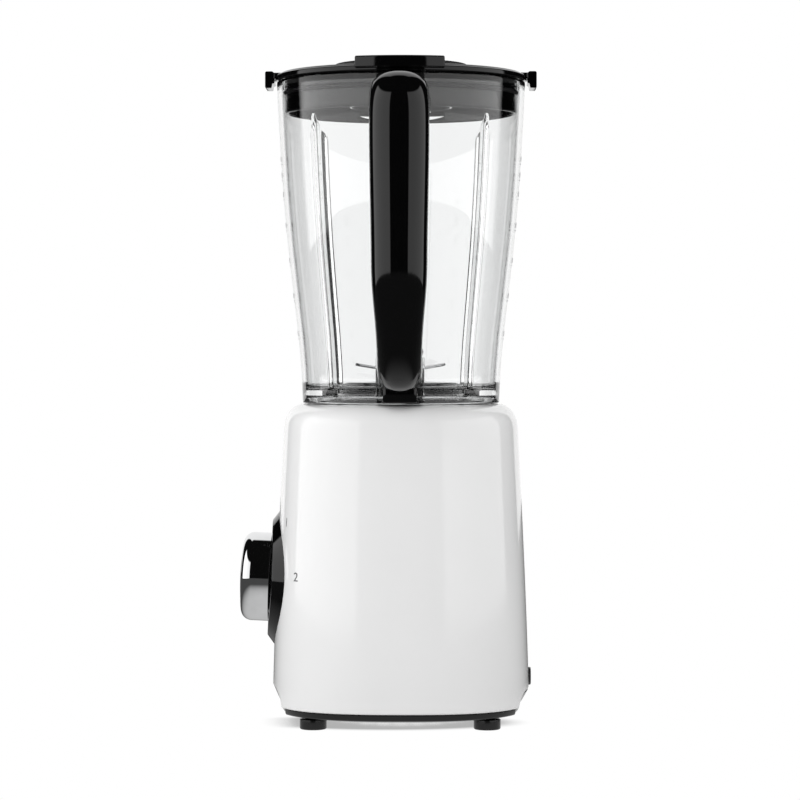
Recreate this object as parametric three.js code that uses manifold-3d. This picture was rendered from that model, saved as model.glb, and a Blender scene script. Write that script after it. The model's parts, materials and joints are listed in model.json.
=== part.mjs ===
// Countertop blender: a white motor base with a front dial, a clear jug with a side handle, and a black lid.
// Millimetres, +Z up. The dial faces -X, the handle -Y and the pouring spout +Y. The drive axis is worked out below
// from the origin, which is the middle of the whole object's footprint on the worktop.
import * as THREE from "three";
import { mergeVertices } from "three/addons/utils/BufferGeometryUtils.js";
import Module from "manifold-3d";

const wasm = await Module();
wasm.setup();

// ---------- driving dimensions ----------
const GAP = 0.3; // between pieces that touch
const RUNNING_GAP = 0.5; // between pieces that turn or slide past each other

// motor base
const FOOT_HEIGHT = 6;
const FOOT_R = 7.5;
const FOOT_INSET = 11.9; // foot centres in from the shell's corners
const PLATE_THICK = 2.6;
const PLATE_RIM = 5; // how high the base plate's rim stands
const SCREW_INSET = 16.6;
const SCREW_R = 1.7;
const HOUSING_HEIGHT = 176.3; // from the shell's lower edge to its top
const HOUSING_HALF_LOW = 75.6; // half the shell's width near the bottom
const HOUSING_HALF_HIGH = 69.1; // and just under the shoulder
const HOUSING_WALL = 2.6;
const SHOULDER_R = 12;
const SQUARENESS = 2.6; // exponent of the plan's superellipse
const ARCH_HEIGHT = 10.4; // cut in the shell's lower edge at the front
const ARCH_REAR = 8.6; // lower at the back, under the cord's hole
const ARCH_HALF = 36.5;

// seat for the jug, sunk in the top of the base
const SEAT_SIDE_CLEAR = 2.5; // round the collar
const SEAT_CLEAR = 1.1; // under the jug's collar
const SHAFT_HOLE_R = 11;

// jug
const JUG_HEIGHT = 190;
const JUG_LOW_R = 58.2;
const JUG_HIGH_R = 73.6;
// share of the widening reached at each tenth of the height
const JUG_SWELL = [0, 0.05, 0.159, 0.305, 0.448, 0.585, 0.698, 0.793, 0.869, 0.937, 1];
const JUG_WALL = 3;
const JUG_FLOOR = 4;
const BOSS_DEPTH = 11; // threaded ring under the floor that takes the collar
const BOSS_WALL = 5;
const RIB_REACH = 4.5; // four ribs stand in from the wall
const RIB_THICK = 3.6;
const RIB_TOP_BELOW_RIM = 25;
const SPOUT_REACH = 9;
const SPOUT_HEIGHT = 26;
const SPOUT_HALF_ANGLE = 0.42; // radians either side of +Y

// collar and blade unit
const COLLAR_SIDE_CLEAR = 3.2; // inside the jug's wall
const COLLAR_WALL = 8.7;
const COLLAR_LIP = 8; // how far it reaches in under the threaded ring
const COLLAR_DEPTH = 16; // below the jug's lower edge
const SEAL_THICK = 1.5;
const BUSH_R = 8;
const BLADE_SHAFT_R = 4;
const BLADE_REACH = 29;
const BLADE_THICK = 1.5;
const BLADE_CLEAR = 6; // lowest blade above the blade unit's dome

// handle
const HANDLE_STANDOFF = 45; // grip's outer face beyond the jug's widest radius
const HANDLE_WIDTH = 34;
const HANDLE_LOW_WIDTH = 28;
const GRIP_THICK = 19;
const LINER_THICK = 3;

// lid and filler cap
const FLANGE_R = 74.4;
const FLANGE_THICK = 3.1;
const LID_STEP = 2.4;
const SKIRT_DEPTH = 19.6;
const SKIRT_WALL = 2.4;
const FILLER_R = 31.5; // hole through the lid
const CAP_R = 40;
const CAP_THICK = 4.2;
const CAP_WALL = 2.2;
const CAP_RIBS = 20;
const TAB_REACH = 80.4; // finger tabs at front and back, from the axis
const TAB_WIDTH = 22;
const TAB_HEIGHT = 9.8;
const LUG_WIDTH = 51; // thumb block over the handle
const LUG_REACH = 79.5;
const LUG_HEIGHT = 7;

// dial
const DIAL_HEIGHT = 84.4; // centre above the worktop
const DIAL_TILT = THREE.MathUtils.degToRad(2.7);
const BEZEL_R = 34;
const BEZEL_FLARE = 3;
const BEZEL_PROUD = 4; // front of the bezel beyond the shell
const KNOB_R = 26.2;
const KNOB_LENGTH = 18;
const KNOB_EDGE = 5;
const SPINDLE_R = 3;

// mains inlet
const GLAND_HEIGHT = 25.6;
const GLAND_R = 5.3;
const GLAND_NECK_R = 4.4;
const CORD_HOLE_R = 3.4;
const GLAND_PROUD = 1.5;

// motor
const SHAFT_R = 4;
const STATOR_HALF_X = 42;
const STATOR_HALF_Y = 34;
const STATOR_HEIGHT = 40;
const MOUNT_HEIGHT = 12.3; // rubber mounts that hang the motor from the seat
const BRACKET_THICK = 4;
const COIL_END = 7; // how far the windings stand out of the laminations
const AIR_GAP = 0.7;
const ARMATURE_R = 24;
const COMMUTATOR_R = 12;
const COMMUTATOR_HEIGHT = 15;
const BEARING_R = 11;
const BEARING_HEIGHT = 7;
const FAN_R = 34;
const FAN_HEIGHT = 12;
const FAN_BLADES = 9;
const COUPLING_LOBES = 6;
const COUPLING_R = 16;
const COUPLING_HEIGHT = 12;

// ---------- heights that follow from them ----------
const zShell = FOOT_HEIGHT + PLATE_RIM; // shell's lower edge
const zTop = zShell + HOUSING_HEIGHT; // top of the base
const zJug = zTop + GAP; // jug's lower edge
const zCollar = zJug - COLLAR_DEPTH; // underside of the jug's collar
const zSeat = zCollar - SEAT_CLEAR;
const zRim = zJug + JUG_HEIGHT;
const zFlange = zRim + GAP;
const zLid = zFlange + FLANGE_THICK + LID_STEP; // flat top of the lid
const zUpper = zSeat - HOUSING_WALL - MOUNT_HEIGHT - 2 * GAP - BRACKET_THICK; // upper bracket's underside
const zStator = zUpper - COIL_END - 4 - STATOR_HEIGHT;
const zLower = zStator - 31; // lower bracket's underside
const handleOut = JUG_HIGH_R + HANDLE_STANDOFF;
const collarR = JUG_LOW_R - JUG_WALL - COLLAR_SIDE_CLEAR;
const bossR = collarR - COLLAR_WALL - GAP;
const seatR = collarR + SEAT_SIDE_CLEAR;

// ---------- shapes ----------
const FACETS = 40; // round the largest pieces
const V2 = (x, y) => new THREE.Vector2(x, y);

// A closed geometry as a manifold-3d solid.
function solid(geometry) {
  const g = geometry.clone();
  g.deleteAttribute("normal");
  g.deleteAttribute("uv");
  const merged = mergeVertices(g, 1e-4);
  const made = new wasm.Manifold(
    new wasm.Mesh({
      numProp: 3,
      vertProperties: merged.attributes.position.array,
      triVerts: new Uint32Array(merged.index.array),
    }),
  );
  if (made.volume() <= 0) throw new Error("a shape faces inwards");
  return made;
}

// A solid's vertices and triangles as a three.js geometry.
function geometryOf(made) {
  const mesh = made.getMesh();
  const positions = new Float32Array(mesh.numVert * 3);
  for (let i = 0; i < mesh.numVert; i++) {
    positions.set(mesh.vertProperties.subarray(i * mesh.numProp, i * mesh.numProp + 3), i * 3);
  }
  const g = new THREE.BufferGeometry()
    .setAttribute("position", new THREE.BufferAttribute(positions, 3))
    .setIndex(new THREE.BufferAttribute(mesh.triVerts, 1))
    .toNonIndexed();
  g.computeVertexNormals();
  return g;
}

// A turned solid. The profile is [radius, height] points, running up the outside; warp(x, y, z) may move its vertices.
function turned(profile, segments = 20, warp = null) {
  const g = new THREE.LatheGeometry(
    profile.map(([r, z]) => V2(r, z)),
    segments,
  ).rotateX(Math.PI / 2);
  if (warp) {
    const p = g.attributes.position;
    for (let i = 0; i < p.count; i++) {
      const moved = warp(p.getX(i), p.getY(i), p.getZ(i));
      p.setXYZ(i, ...moved);
    }
  }
  return solid(g);
}

// A turned ring or disc between two heights.
const ring = (inner, outer, low, high, segments = 20) =>
  turned([[inner, low], [outer, low], [outer, high], [inner, high], [inner, low]], segments);
const disc = (r, low, high, segments = 20) => turned([[0, low], [r, low], [r, high], [0, high]], segments);

// A box from its centre in X and Y, its lower face and its three sizes.
const block = (x, y, low, sx, sy, sz) =>
  solid(new THREE.BoxGeometry(sx, sy, sz).translate(x, y, low + sz / 2));

// A flat outline of [x, y] points or a THREE.Shape, extruded up from a height.
function slab(outline, low, height, curveSegments = 6) {
  const shape = outline instanceof THREE.Shape ? outline : new THREE.Shape(outline.map(([x, y]) => V2(x, y)));
  return solid(
    new THREE.ExtrudeGeometry(shape, { depth: height, bevelEnabled: false, curveSegments }).translate(0, 0, low),
  );
}

// An outline drawn in the Y-Z plane, extruded along X about x = 0.
function sideSlab(shape, width, curveSegments = 6) {
  const g = new THREE.ExtrudeGeometry(shape, { depth: width, bevelEnabled: false, curveSegments });
  g.translate(0, 0, -width / 2);
  g.applyMatrix4(new THREE.Matrix4().makeBasis(
    new THREE.Vector3(0, 1, 0), new THREE.Vector3(0, 0, 1), new THREE.Vector3(1, 0, 0),
  ));
  return solid(g);
}

// A rectangle with round corners.
function roundedRect(halfX, halfY, r) {
  const s = new THREE.Shape();
  s.moveTo(-halfX + r, -halfY);
  s.lineTo(halfX - r, -halfY).absarc(halfX - r, -halfY + r, r, -Math.PI / 2, 0);
  s.lineTo(halfX, halfY - r).absarc(halfX - r, halfY - r, r, 0, Math.PI / 2);
  s.lineTo(-halfX + r, halfY).absarc(-halfX + r, halfY - r, r, Math.PI / 2, Math.PI);
  s.lineTo(-halfX, -halfY + r).absarc(-halfX + r, -halfY + r, r, Math.PI, 1.5 * Math.PI);
  return s;
}

const unite = (parts) => parts.reduce((a, b) => a.add(b));
const cut = (from, tools) => tools.reduce((a, b) => a.subtract(b), from);
const at = (part, x, y, z = 0) => part.translate([x, y, z]);
const turnZ = (part, angle) => part.rotate([0, 0, THREE.MathUtils.radToDeg(angle)]);
const corners = (dx, dy = dx) => [[-dx, -dy], [dx, -dy], [dx, dy], [-dx, dy]];
const aroundCircle = (count, make) => Array.from({ length: count }, (_, i) => make((i / count) * 2 * Math.PI));

// ---------- the shell's plan: round at the seat, squarish at the wall ----------
function squareness(x, y) {
  const r = Math.hypot(x, y);
  if (r < 1e-6) return 1;
  return (Math.abs(x / r) ** SQUARENESS + Math.abs(y / r) ** SQUARENESS) ** (-1 / SQUARENESS);
}
function shellPlan(x, y, z) {
  const share = THREE.MathUtils.clamp((Math.hypot(x, y) - seatR) / SHOULDER_R, 0, 1);
  const k = 1 + (squareness(x, y) - 1) * share;
  return [x * k, y * k, z];
}
// Half the shell's width at a height, along X or Y.
function wallHalf(z) {
  const zWaist = zTop - SHOULDER_R;
  const t = THREE.MathUtils.clamp((z - zShell - 9) / (zWaist - zShell - 9), 0, 1);
  return HOUSING_HALF_LOW - (HOUSING_HALF_LOW - HOUSING_HALF_HIGH) * t ** 1.25;
}
// The outer or inner side wall as [half width, height] points, going up, with the shoulder's arc.
function wallProfile(inset) {
  const zWaist = zTop - SHOULDER_R;
  const points = [0, 0.2, 0.4, 0.6, 0.8].map((t) => {
    const z = zShell + t * (zWaist - zShell);
    return [wallHalf(z) - inset, z];
  });
  for (let i = 0; i <= 5; i++) {
    const a = (i / 5) * (Math.PI / 2);
    const centre = HOUSING_HALF_HIGH - SHOULDER_R;
    points.push([centre + (SHOULDER_R - inset) * Math.cos(a), zWaist + (SHOULDER_R - inset) * Math.sin(a)]);
  }
  return points;
}
// The space that the shell fills or bounds, out to a distance beyond its outer face.
const shellBulk = (beyond) =>
  turned([[0, zShell - 1], ...wallProfile(-beyond), [0, zTop + beyond]], FACETS, shellPlan);

// The dial's own frame: z runs out of the front of the base along the knob's axis, from the bezel's front face.
const dialX = -(wallHalf(DIAL_HEIGHT) + BEZEL_PROUD);
const dialMatrix = new THREE.Matrix4()
  .makeTranslation(dialX, 0, DIAL_HEIGHT)
  .multiply(new THREE.Matrix4().makeRotationY(-Math.PI / 2 + DIAL_TILT));
const onDial = (part) => part.transform(dialMatrix.elements);

// ---------- motor base ----------
const footSpots = corners((HOUSING_HALF_LOW * squareness(1, 1) - FOOT_INSET) / Math.SQRT2);
const screwSpots = corners(31, HOUSING_HALF_LOW - SCREW_INSET);
const mountSpots = corners(30, 22);
const BOSS_TOP = 60;
const PIN_Y = collarR - 7; // interlock pin's place, under the jug's collar
const PIN_R = 2.5;
const PIN_TRAVEL = 3;
const SWITCH_TOP = zSeat - HOUSING_WALL - 12;

// The arch at the front (side -1) or the back: flat-topped, with round shoulders.
function archCut(side, height) {
  const top = Array.from({ length: 13 }, (_, i) => {
    const a = (i * Math.PI) / 12;
    const across = Math.sign(Math.cos(a)) * Math.abs(Math.cos(a)) ** (2 / 3);
    return V2(ARCH_HALF * across, zShell + height * Math.abs(Math.sin(a)) ** (2 / 3));
  });
  const outline = new THREE.Shape([V2(-ARCH_HALF, zShell - 5), V2(ARCH_HALF, zShell - 5), ...top]);
  return sideSlab(outline, 2 * HOUSING_HALF_LOW).translate([side * (HOUSING_HALF_LOW + 10), 0, 0]);
}
function housing() {
  const inner = wallProfile(HOUSING_WALL).reverse();
  const profile = [
    ...wallProfile(0),
    [seatR + 2, zTop],
    [seatR, zTop - 2],
    [seatR, zSeat],
    [SHAFT_HOLE_R, zSeat],
    [SHAFT_HOLE_R, zSeat - HOUSING_WALL],
    [seatR + HOUSING_WALL, zSeat - HOUSING_WALL],
    ...inner.slice(1),
    [wallHalf(zShell), zShell],
  ];
  const archCuts = [archCut(-1, ARCH_HEIGHT), archCut(1, ARCH_REAR)];
  const bosses = screwSpots.flatMap(([x, y]) => [
    at(disc(4.5, zShell + 1, BOSS_TOP, 12), x, y),
    block(x, y + Math.sign(y) * 10, zShell + 12, 3, 20, BOSS_TOP - zShell - 12).intersect(shellBulk(-HOUSING_WALL / 2)),
  ]);
  const switchPost = block(-14, PIN_Y, SWITCH_TOP - 11, 5, 8, zSeat - HOUSING_WALL - SWITCH_TOP + 12);
  const shell = turned(profile, FACETS, shellPlan);
  return cut(unite([shell, ...bosses, switchPost]), [
    ...archCuts,
    ...screwSpots.map(([x, y]) => at(disc(SCREW_R + GAP, zShell - 1, BOSS_TOP - 3, 8), x, y)),
    onDial(disc(SPINDLE_R + 1.2, -30, 5, 16)),
    solid(new THREE.CylinderGeometry(GLAND_NECK_R + GAP, GLAND_NECK_R + GAP, 30, 16)
      .rotateZ(Math.PI / 2).translate(HOUSING_HALF_LOW, 0, GLAND_HEIGHT)),
    at(disc(PIN_R + RUNNING_GAP, zSeat - 20, zSeat + 5, 12), 0, PIN_Y),
  ]);
}

const PLATE_NARROW = 0.945; // the plate is drawn in at front and back, behind the arches
function basePlate() {
  const r = HOUSING_HALF_LOW - 2.2;
  const plan = (x, y, z) => {
    const k = squareness(x, y);
    return [x * k * PLATE_NARROW, y * k, z];
  };
  const low = FOOT_HEIGHT;
  const tray = turned(
    [[0, low], [r - 6, low], [r - 1, low + 2], [r, zShell - GAP], [r - 2.4, zShell - GAP],
      [r - 3.2, low + PLATE_THICK], [0, low + PLATE_THICK]],
    FACETS,
    plan,
  );
  // Behind each arch the rim stands up to close the gap.
  const foot = low + PLATE_THICK;
  const rims = [[-1, zShell + ARCH_HEIGHT + 1.6], [1, GLAND_HEIGHT - 7.1]].map(([side, top]) =>
    turned([[r - 2.4, foot], [r, foot], [r, top], [r - 2.4, top], [r - 2.4, foot]], FACETS, plan)
      .intersect(block(side * HOUSING_HALF_LOW, 0, low, 2 * HOUSING_HALF_LOW - 20, 2 * ARCH_HALF - 8, 40)));
  const posts = screwSpots.map(([x, y]) => at(disc(4.5, low + 1, zShell + 1 - GAP, 12), x, y));
  const slots = [-3, -2, -1, 0, 1, 2, 3].map((i) =>
    slab(roundedRect(2.4, Math.sqrt(36 ** 2 - (i * 10) ** 2), 2.3), low - 1, PLATE_THICK + 2, 2).translate([i * 10, 0, 0]));
  return cut(unite([tray, ...rims, ...posts]), [
    ...slots,
    ...screwSpots.flatMap(([x, y]) => [
      at(disc(SCREW_R + GAP, 0, 30, 8), x, y),
      at(disc(3.6, 0, low + 2.4, 12), x, y),
    ]),
    ...footSpots.map(([x, y]) => at(disc(2.6 + GAP, 0, 20, 12), x, y)),
  ]);
}

const foot = () =>
  turned([[0, 0], [FOOT_R - 1, 0], [FOOT_R, 1], [FOOT_R, FOOT_HEIGHT - GAP],
    [2.6, FOOT_HEIGHT - GAP], [2.6, FOOT_HEIGHT + PLATE_THICK + 0.6], [3.3, FOOT_HEIGHT + PLATE_THICK + 0.9],
    [1.6, FOOT_HEIGHT + PLATE_THICK + 4], [0, FOOT_HEIGHT + PLATE_THICK + 4]], 12);

const plateScrew = () =>
  cut(turned([[0, FOOT_HEIGHT + 0.2], [3.2, FOOT_HEIGHT + 0.2], [3.2, FOOT_HEIGHT + 2.1], [SCREW_R, FOOT_HEIGHT + 2.1],
    [SCREW_R, zShell + 18], [0, zShell + 20]], 8),
  [block(0, 0, FOOT_HEIGHT - 1, 4, 0.8, 2)]);

function cordGland() {
  const x = wallHalf(GLAND_HEIGHT);
  const inside = x - HOUSING_WALL - GAP;
  const body = turned([[CORD_HOLE_R, inside - 3 - 4], [GLAND_NECK_R, inside - 3 - 4], [GLAND_NECK_R, inside - 3],
    [GLAND_R + 1, inside - 3], [GLAND_R + 1, inside - 0.9], [GLAND_NECK_R, inside - 0.9], [GLAND_NECK_R, x + GAP],
    [GLAND_R, x + GAP], [GLAND_R, x + GLAND_PROUD - 0.7], [GLAND_R - 0.7, x + GLAND_PROUD],
    [CORD_HOLE_R, x + GLAND_PROUD], [CORD_HOLE_R, inside - 3 - 4]], 16);
  return body.rotate([0, 90, 0]).translate([0, 0, GLAND_HEIGHT]);
}

// ---------- dial ----------
function knobBezel() {
  const depth = 14;
  const cone = turned([[SPINDLE_R + 1, -depth], [BEZEL_R + BEZEL_FLARE + 1, -depth], [BEZEL_R + BEZEL_FLARE, -6],
    [BEZEL_R, -0.6], [BEZEL_R - 0.6, 0], [KNOB_R + 2.5, 0], [KNOB_R + 1.5, -1.2], [SPINDLE_R + 1, -1.2],
    [SPINDLE_R + 1, -depth]], 32);
  return cut(onDial(cone), [shellBulk(GAP)]);
}
const knobShell = () => {
  const low = -0.4;
  const high = KNOB_LENGTH;
  const e = KNOB_EDGE;
  const arc = [0, 1, 2, 3].map((i) => {
    const a = (i / 3) * (Math.PI / 2);
    return [KNOB_R - e + e * Math.cos(a), high - e - 0.6 + e * Math.sin(a)];
  });
  const chrome = turned([[KNOB_R - 2, low], [KNOB_R, low], ...arc, [0, high], [0, high - 2.4], [KNOB_R - e, high - 3],
    [KNOB_R - 2, high - e - 1], [KNOB_R - 2, low]], 32);
  return onDial(cut(chrome, [block(KNOB_R - 9, 0, high - 1.4, 8, 2.4, 3)]));
};
// The black carrier inside the chrome shell, which grips the switch's spindle.
const knobCore = () => {
  const top = KNOB_LENGTH - 3.4;
  return onDial(turned([[SPINDLE_R + GAP, 0], [7, 0], [7, top - 2], [KNOB_R - KNOB_EDGE - 0.8, top - 2],
    [KNOB_R - KNOB_EDGE - 0.8, top], [SPINDLE_R + GAP, top], [SPINDLE_R + GAP, 0]]));
};
const knobPointer = () => onDial(block(KNOB_R - 9, 0, KNOB_LENGTH - 1.1, 7.4, 1.8, 1.2));
const switchSpindle = () => onDial(disc(SPINDLE_R, -16, KNOB_LENGTH - 4.4, 20));
const SWITCH_FACE = -BEZEL_PROUD - HOUSING_WALL - 2.2; // along the dial's axis
function rotarySwitch() {
  const body = slab(roundedRect(14, 14, 3), SWITCH_FACE - 15, 15, 3);
  const nose = ring(SPINDLE_R + RUNNING_GAP, 4, SWITCH_FACE - 1, SWITCH_FACE + 4, 20);
  const tags = [-8, 0, 8].map((x) => block(x, 8, SWITCH_FACE - 19, 4.8, 0.8, 5));
  return onDial(cut(unite([body, nose, ...tags]), [disc(SPINDLE_R + RUNNING_GAP, SWITCH_FACE - 10, 5, 20)]));
}

// ---------- motor ----------
const coilX = [27, 34]; // the field coils' slots in the stator
const coilY = [19.6, 26.6];
function statorCore() {
  const slots = [-1, 1].flatMap((sx) => [-1, 1].map((sy) =>
    block(sx * (coilX[0] + coilX[1]) / 2, sy * (coilY[0] + coilY[1]) / 2, zStator - 1,
      coilX[1] - coilX[0] + 2 * GAP, coilY[1] - coilY[0] + 2 * GAP, STATOR_HEIGHT + 2)));
  return cut(slab(roundedRect(STATOR_HALF_X, STATOR_HALF_Y, 9), zStator, STATOR_HEIGHT, 4), [
    disc(ARMATURE_R + AIR_GAP, zStator - 1, zStator + STATOR_HEIGHT + 1, 32),
    ...slots,
  ]);
}
function fieldCoil(side) {
  const thick = coilX[1] - coilX[0];
  const outer = block(0, 0, zStator - COIL_END, thick, 2 * coilY[1], STATOR_HEIGHT + 2 * COIL_END);
  const hole = block(0, 0, zStator - GAP, thick + 2, 2 * coilY[0], STATOR_HEIGHT + 2 * GAP);
  return at(cut(outer, [hole]), side * (coilX[0] + thick / 2), 0);
}
const pillarSpots = corners(38, 14);
function bearingBracket(low, towardStator) {
  const plate = slab(roundedRect(STATOR_HALF_X - 1, STATOR_HALF_Y - 4, 8), low, BRACKET_THICK, 4);
  const hub = disc(BEARING_R + 3, low - 1.5, low + BEARING_HEIGHT - 1);
  const pillarLow = towardStator < 0 ? zStator + STATOR_HEIGHT + GAP : low + 2;
  const pillarHigh = towardStator < 0 ? low + 2 : zStator - GAP;
  const pillars = pillarSpots.map(([x, y]) => at(disc(3, pillarLow, pillarHigh, 8), x, y));
  return cut(unite([plate, hub, ...pillars]), [
    disc(BEARING_R + GAP, low, low + 20),
    disc(SHAFT_R + 2, low - 5, low + 5),
    ...[-1, 1].map((s) => block(0, s * 22, low - 1, 24, 7, 6)),
  ]);
}
const bearing = (low) => ring(SHAFT_R + GAP, BEARING_R, low + GAP, low + GAP + BEARING_HEIGHT);
const zCommutator = zLower + 8;
function brushHolder(side) {
  const z = zCommutator + COMMUTATOR_HEIGHT / 2;
  const holder = block(0, COMMUTATOR_R + 14, z - 5, 9, 20, 10);
  const leg = block(0, COMMUTATOR_R + 9, zLower + BRACKET_THICK + GAP, 7, 6, z - 4 - zLower - BRACKET_THICK - GAP);
  const body = cut(unite([holder, leg]), [block(0, COMMUTATOR_R + 12, z - 3.3, 5.6, 20, 6.6)]);
  return turnZ(body, side > 0 ? 0 : Math.PI);
}
function carbonBrush(side) {
  const z = zCommutator + COMMUTATOR_HEIGHT / 2;
  const brush = block(0, COMMUTATOR_R + RUNNING_GAP + 8, z - 3, 5, 16, 6);
  return turnZ(brush, side > 0 ? 0 : Math.PI);
}
const motorMount = () =>
  ring(2.5, 7, zUpper + BRACKET_THICK + GAP, zUpper + BRACKET_THICK + GAP + MOUNT_HEIGHT, 12);

// ---------- rotor ----------
const zFan = zLower - 4 - FAN_HEIGHT;
const shaftTop = zSeat + 9;
const motorShaft = () => disc(SHAFT_R, zFan - 2, shaftTop);
const armatureCore = () => {
  const slots = aroundCircle(12, (a) => turnZ(block(ARMATURE_R - 1, 0, zStator, 5, 2.2, STATOR_HEIGHT), a));
  return cut(ring(SHAFT_R + GAP, ARMATURE_R, zStator, zStator + STATOR_HEIGHT, 24), slots);
};
const armatureWinding = (low, high) =>
  turned([[SHAFT_R + GAP, low], [17, low], [20.5, low + 1.5], [20.5, high - 1.5], [17, high], [SHAFT_R + GAP, high],
    [SHAFT_R + GAP, low]]);
const commutator = () => {
  const slits = aroundCircle(12, (a) =>
    turnZ(block(COMMUTATOR_R, 0, zCommutator - 1, 1.6, 0.7, COMMUTATOR_HEIGHT + 2), a + 0.13));
  return cut(ring(SHAFT_R + GAP, COMMUTATOR_R, zCommutator, zCommutator + COMMUTATOR_HEIGHT, 24), slits);
};
function coolingFan() {
  const vanes = aroundCircle(FAN_BLADES, (a) =>
    turnZ(at(turnZ(block(0, 0, zFan, FAN_R - 10, 1.6, FAN_HEIGHT - 1), 0.35), FAN_R / 2 + 3.5, 0), a));
  const plate = ring(8, FAN_R, zFan + FAN_HEIGHT - 2, zFan + FAN_HEIGHT, 24);
  return unite([ring(SHAFT_R + GAP, 9, zFan, zFan + FAN_HEIGHT), plate, ...vanes]);
}
// The six-lobed outline shared by the male coupling and the socket that drops over it.
function lobes(grow) {
  const points = [];
  for (let i = 0; i < COUPLING_LOBES; i++) {
    const step = (2 * Math.PI) / COUPLING_LOBES;
    for (const [share, r] of [[-0.22, COUPLING_R], [0.22, COUPLING_R], [0.36, COUPLING_R - 4.5], [0.64, COUPLING_R - 4.5]]) {
      const a = (i + share) * step;
      points.push([(r + grow) * Math.cos(a), (r + grow) * Math.sin(a)]);
    }
  }
  return points;
}
const zCoupling = zSeat + 2.2;
const driveCoupling = () =>
  cut(slab(lobes(0), zCoupling, COUPLING_HEIGHT), [disc(SHAFT_R + GAP, zCoupling - 1, shaftTop + GAP)]);
const dripGuard = () =>
  turned([[SHAFT_R + 1.2, zSeat - 4], [SHAFT_HOLE_R - GAP, zSeat - 4], [SHAFT_HOLE_R - GAP, zSeat + GAP],
    [SHAFT_HOLE_R + 4, zSeat + GAP], [SHAFT_HOLE_R + 4, zSeat + 1.2], [SHAFT_R + 1.2, zSeat + 1.6],
    [SHAFT_R + 1.2, zSeat - 4]], 24);

// ---------- interlock ----------
const interlockPin = () => {
  const stop = zSeat - HOUSING_WALL - PIN_TRAVEL - 1;
  return at(turned([[0, SWITCH_TOP + GAP], [PIN_R - 1, SWITCH_TOP + GAP], [PIN_R - 1, stop - 1.5], [PIN_R + 1.5, stop - 1.5],
    [PIN_R + 1.5, stop], [PIN_R, stop], [PIN_R, zCollar - GAP - 0.8], [PIN_R - 0.8, zCollar - GAP],
    [0, zCollar - GAP]], 12), 0, PIN_Y);
};
const interlockSwitch = () => unite([
  block(0, PIN_Y, SWITCH_TOP - 11, 22, 6.4, 10),
  block(0, PIN_Y, SWITCH_TOP - 1.2, 3, 3, 1.2),
]);

// ---------- jug ----------
// Outer radius of the jug's wall at a height: an S from the narrow foot to the wide rim.
function jugRadius(z) {
  const steps = JUG_SWELL.length - 1;
  const t = THREE.MathUtils.clamp((z - zJug) / JUG_HEIGHT, 0, 1) * steps;
  const i = Math.min(Math.floor(t), steps - 1);
  return JUG_LOW_R + (JUG_HIGH_R - JUG_LOW_R) * THREE.MathUtils.lerp(JUG_SWELL[i], JUG_SWELL[i + 1], t - i);
}
// Pushes the rim out into a spout toward +Y.
function spoutOut(x, y, z, low, high, reach) {
  const angle = Math.abs(Math.atan2(x, y)) / SPOUT_HALF_ANGLE;
  if (angle >= 1 || z <= low) return [x, y, z];
  const push = reach * ((z - low) / (high - low)) ** 1.6 * (0.5 + 0.5 * Math.cos(Math.PI * angle)) ** 0.8;
  const k = 1 + push / Math.hypot(x, y);
  return [x * k, y * k, z];
}
const jugHeights = [0.1, 0.2, 0.3, 0.4, 0.5, 0.65, 0.8, 1].map((t) => zJug + t * JUG_HEIGHT);
const zJugFloor = zJug + 5; // underside of the jug's floor
const lugSpots = { top: [zRim - 24, 12], bottom: [zJug + 1.5, 9] }; // lower edge and height
const LUG_OUT = 3.5; // short, so that the fingers keep their room under it
// A tongue on the jug's wall that one of the handle's ends fits over.
const handleLug = ([low, height], grow) => {
  const wall = jugRadius(low + height / 2);
  return block(0, -(wall + LUG_OUT - 5), low - grow, 10 + 2 * grow, 10 + 2 * grow, height + 2 * grow);
};
function jug() {
  const outside = [[JUG_LOW_R - 1, zJug], [JUG_LOW_R, zJug + 1], ...jugHeights.map((z) => [jugRadius(z), z])];
  const inside = [...jugHeights].reverse().map((z) => [jugRadius(z) - JUG_WALL, z]);
  const floorTop = zJugFloor + JUG_FLOOR;
  const wall = turned([
    ...outside, ...inside,
    [jugRadius(floorTop) - JUG_WALL - 3, floorTop],
    [bossR - BOSS_WALL, floorTop],
    [bossR - BOSS_WALL, zJugFloor - BOSS_DEPTH],
    [bossR, zJugFloor - BOSS_DEPTH],
    [bossR, zJugFloor],
    [JUG_LOW_R - JUG_WALL, zJugFloor],
    [JUG_LOW_R - JUG_WALL, zJug],
    outside[0],
  ], FACETS, (x, y, z) => spoutOut(x, y, z, zRim - SPOUT_HEIGHT, zRim, SPOUT_REACH));
  const ribLow = zJugFloor + JUG_FLOOR - 0.5;
  const ribHigh = zRim - RIB_TOP_BELOW_RIM;
  const ribLine = [0, 0.25, 0.5, 0.75, 1].map((t) => ribLow + t * (ribHigh - ribLow));
  const ribShape = new THREE.Shape([
    ...ribLine.map((z) => V2(jugRadius(z) - JUG_WALL / 2, z)),
    ...[...ribLine].reverse().map((z, i) => V2(jugRadius(z) - JUG_WALL - (i ? RIB_REACH : 1), z - (i ? 0 : 1))),
  ]);
  const rib = sideSlab(ribShape, RIB_THICK, 2);
  const ribs = [1, 3, 5, 7].map((i) => turnZ(rib, (i * Math.PI) / 4));
  const lugs = [];
  for (const spot of Object.values(lugSpots)) {
    const inner = disc(jugRadius(spot[0]) - JUG_WALL / 2, spot[0] - 5, spot[0] + spot[1] + 5, FACETS);
    lugs.push(cut(handleLug(spot, 0), [inner]));
  }
  return unite([wall, ...ribs, ...lugs]);
}

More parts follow.
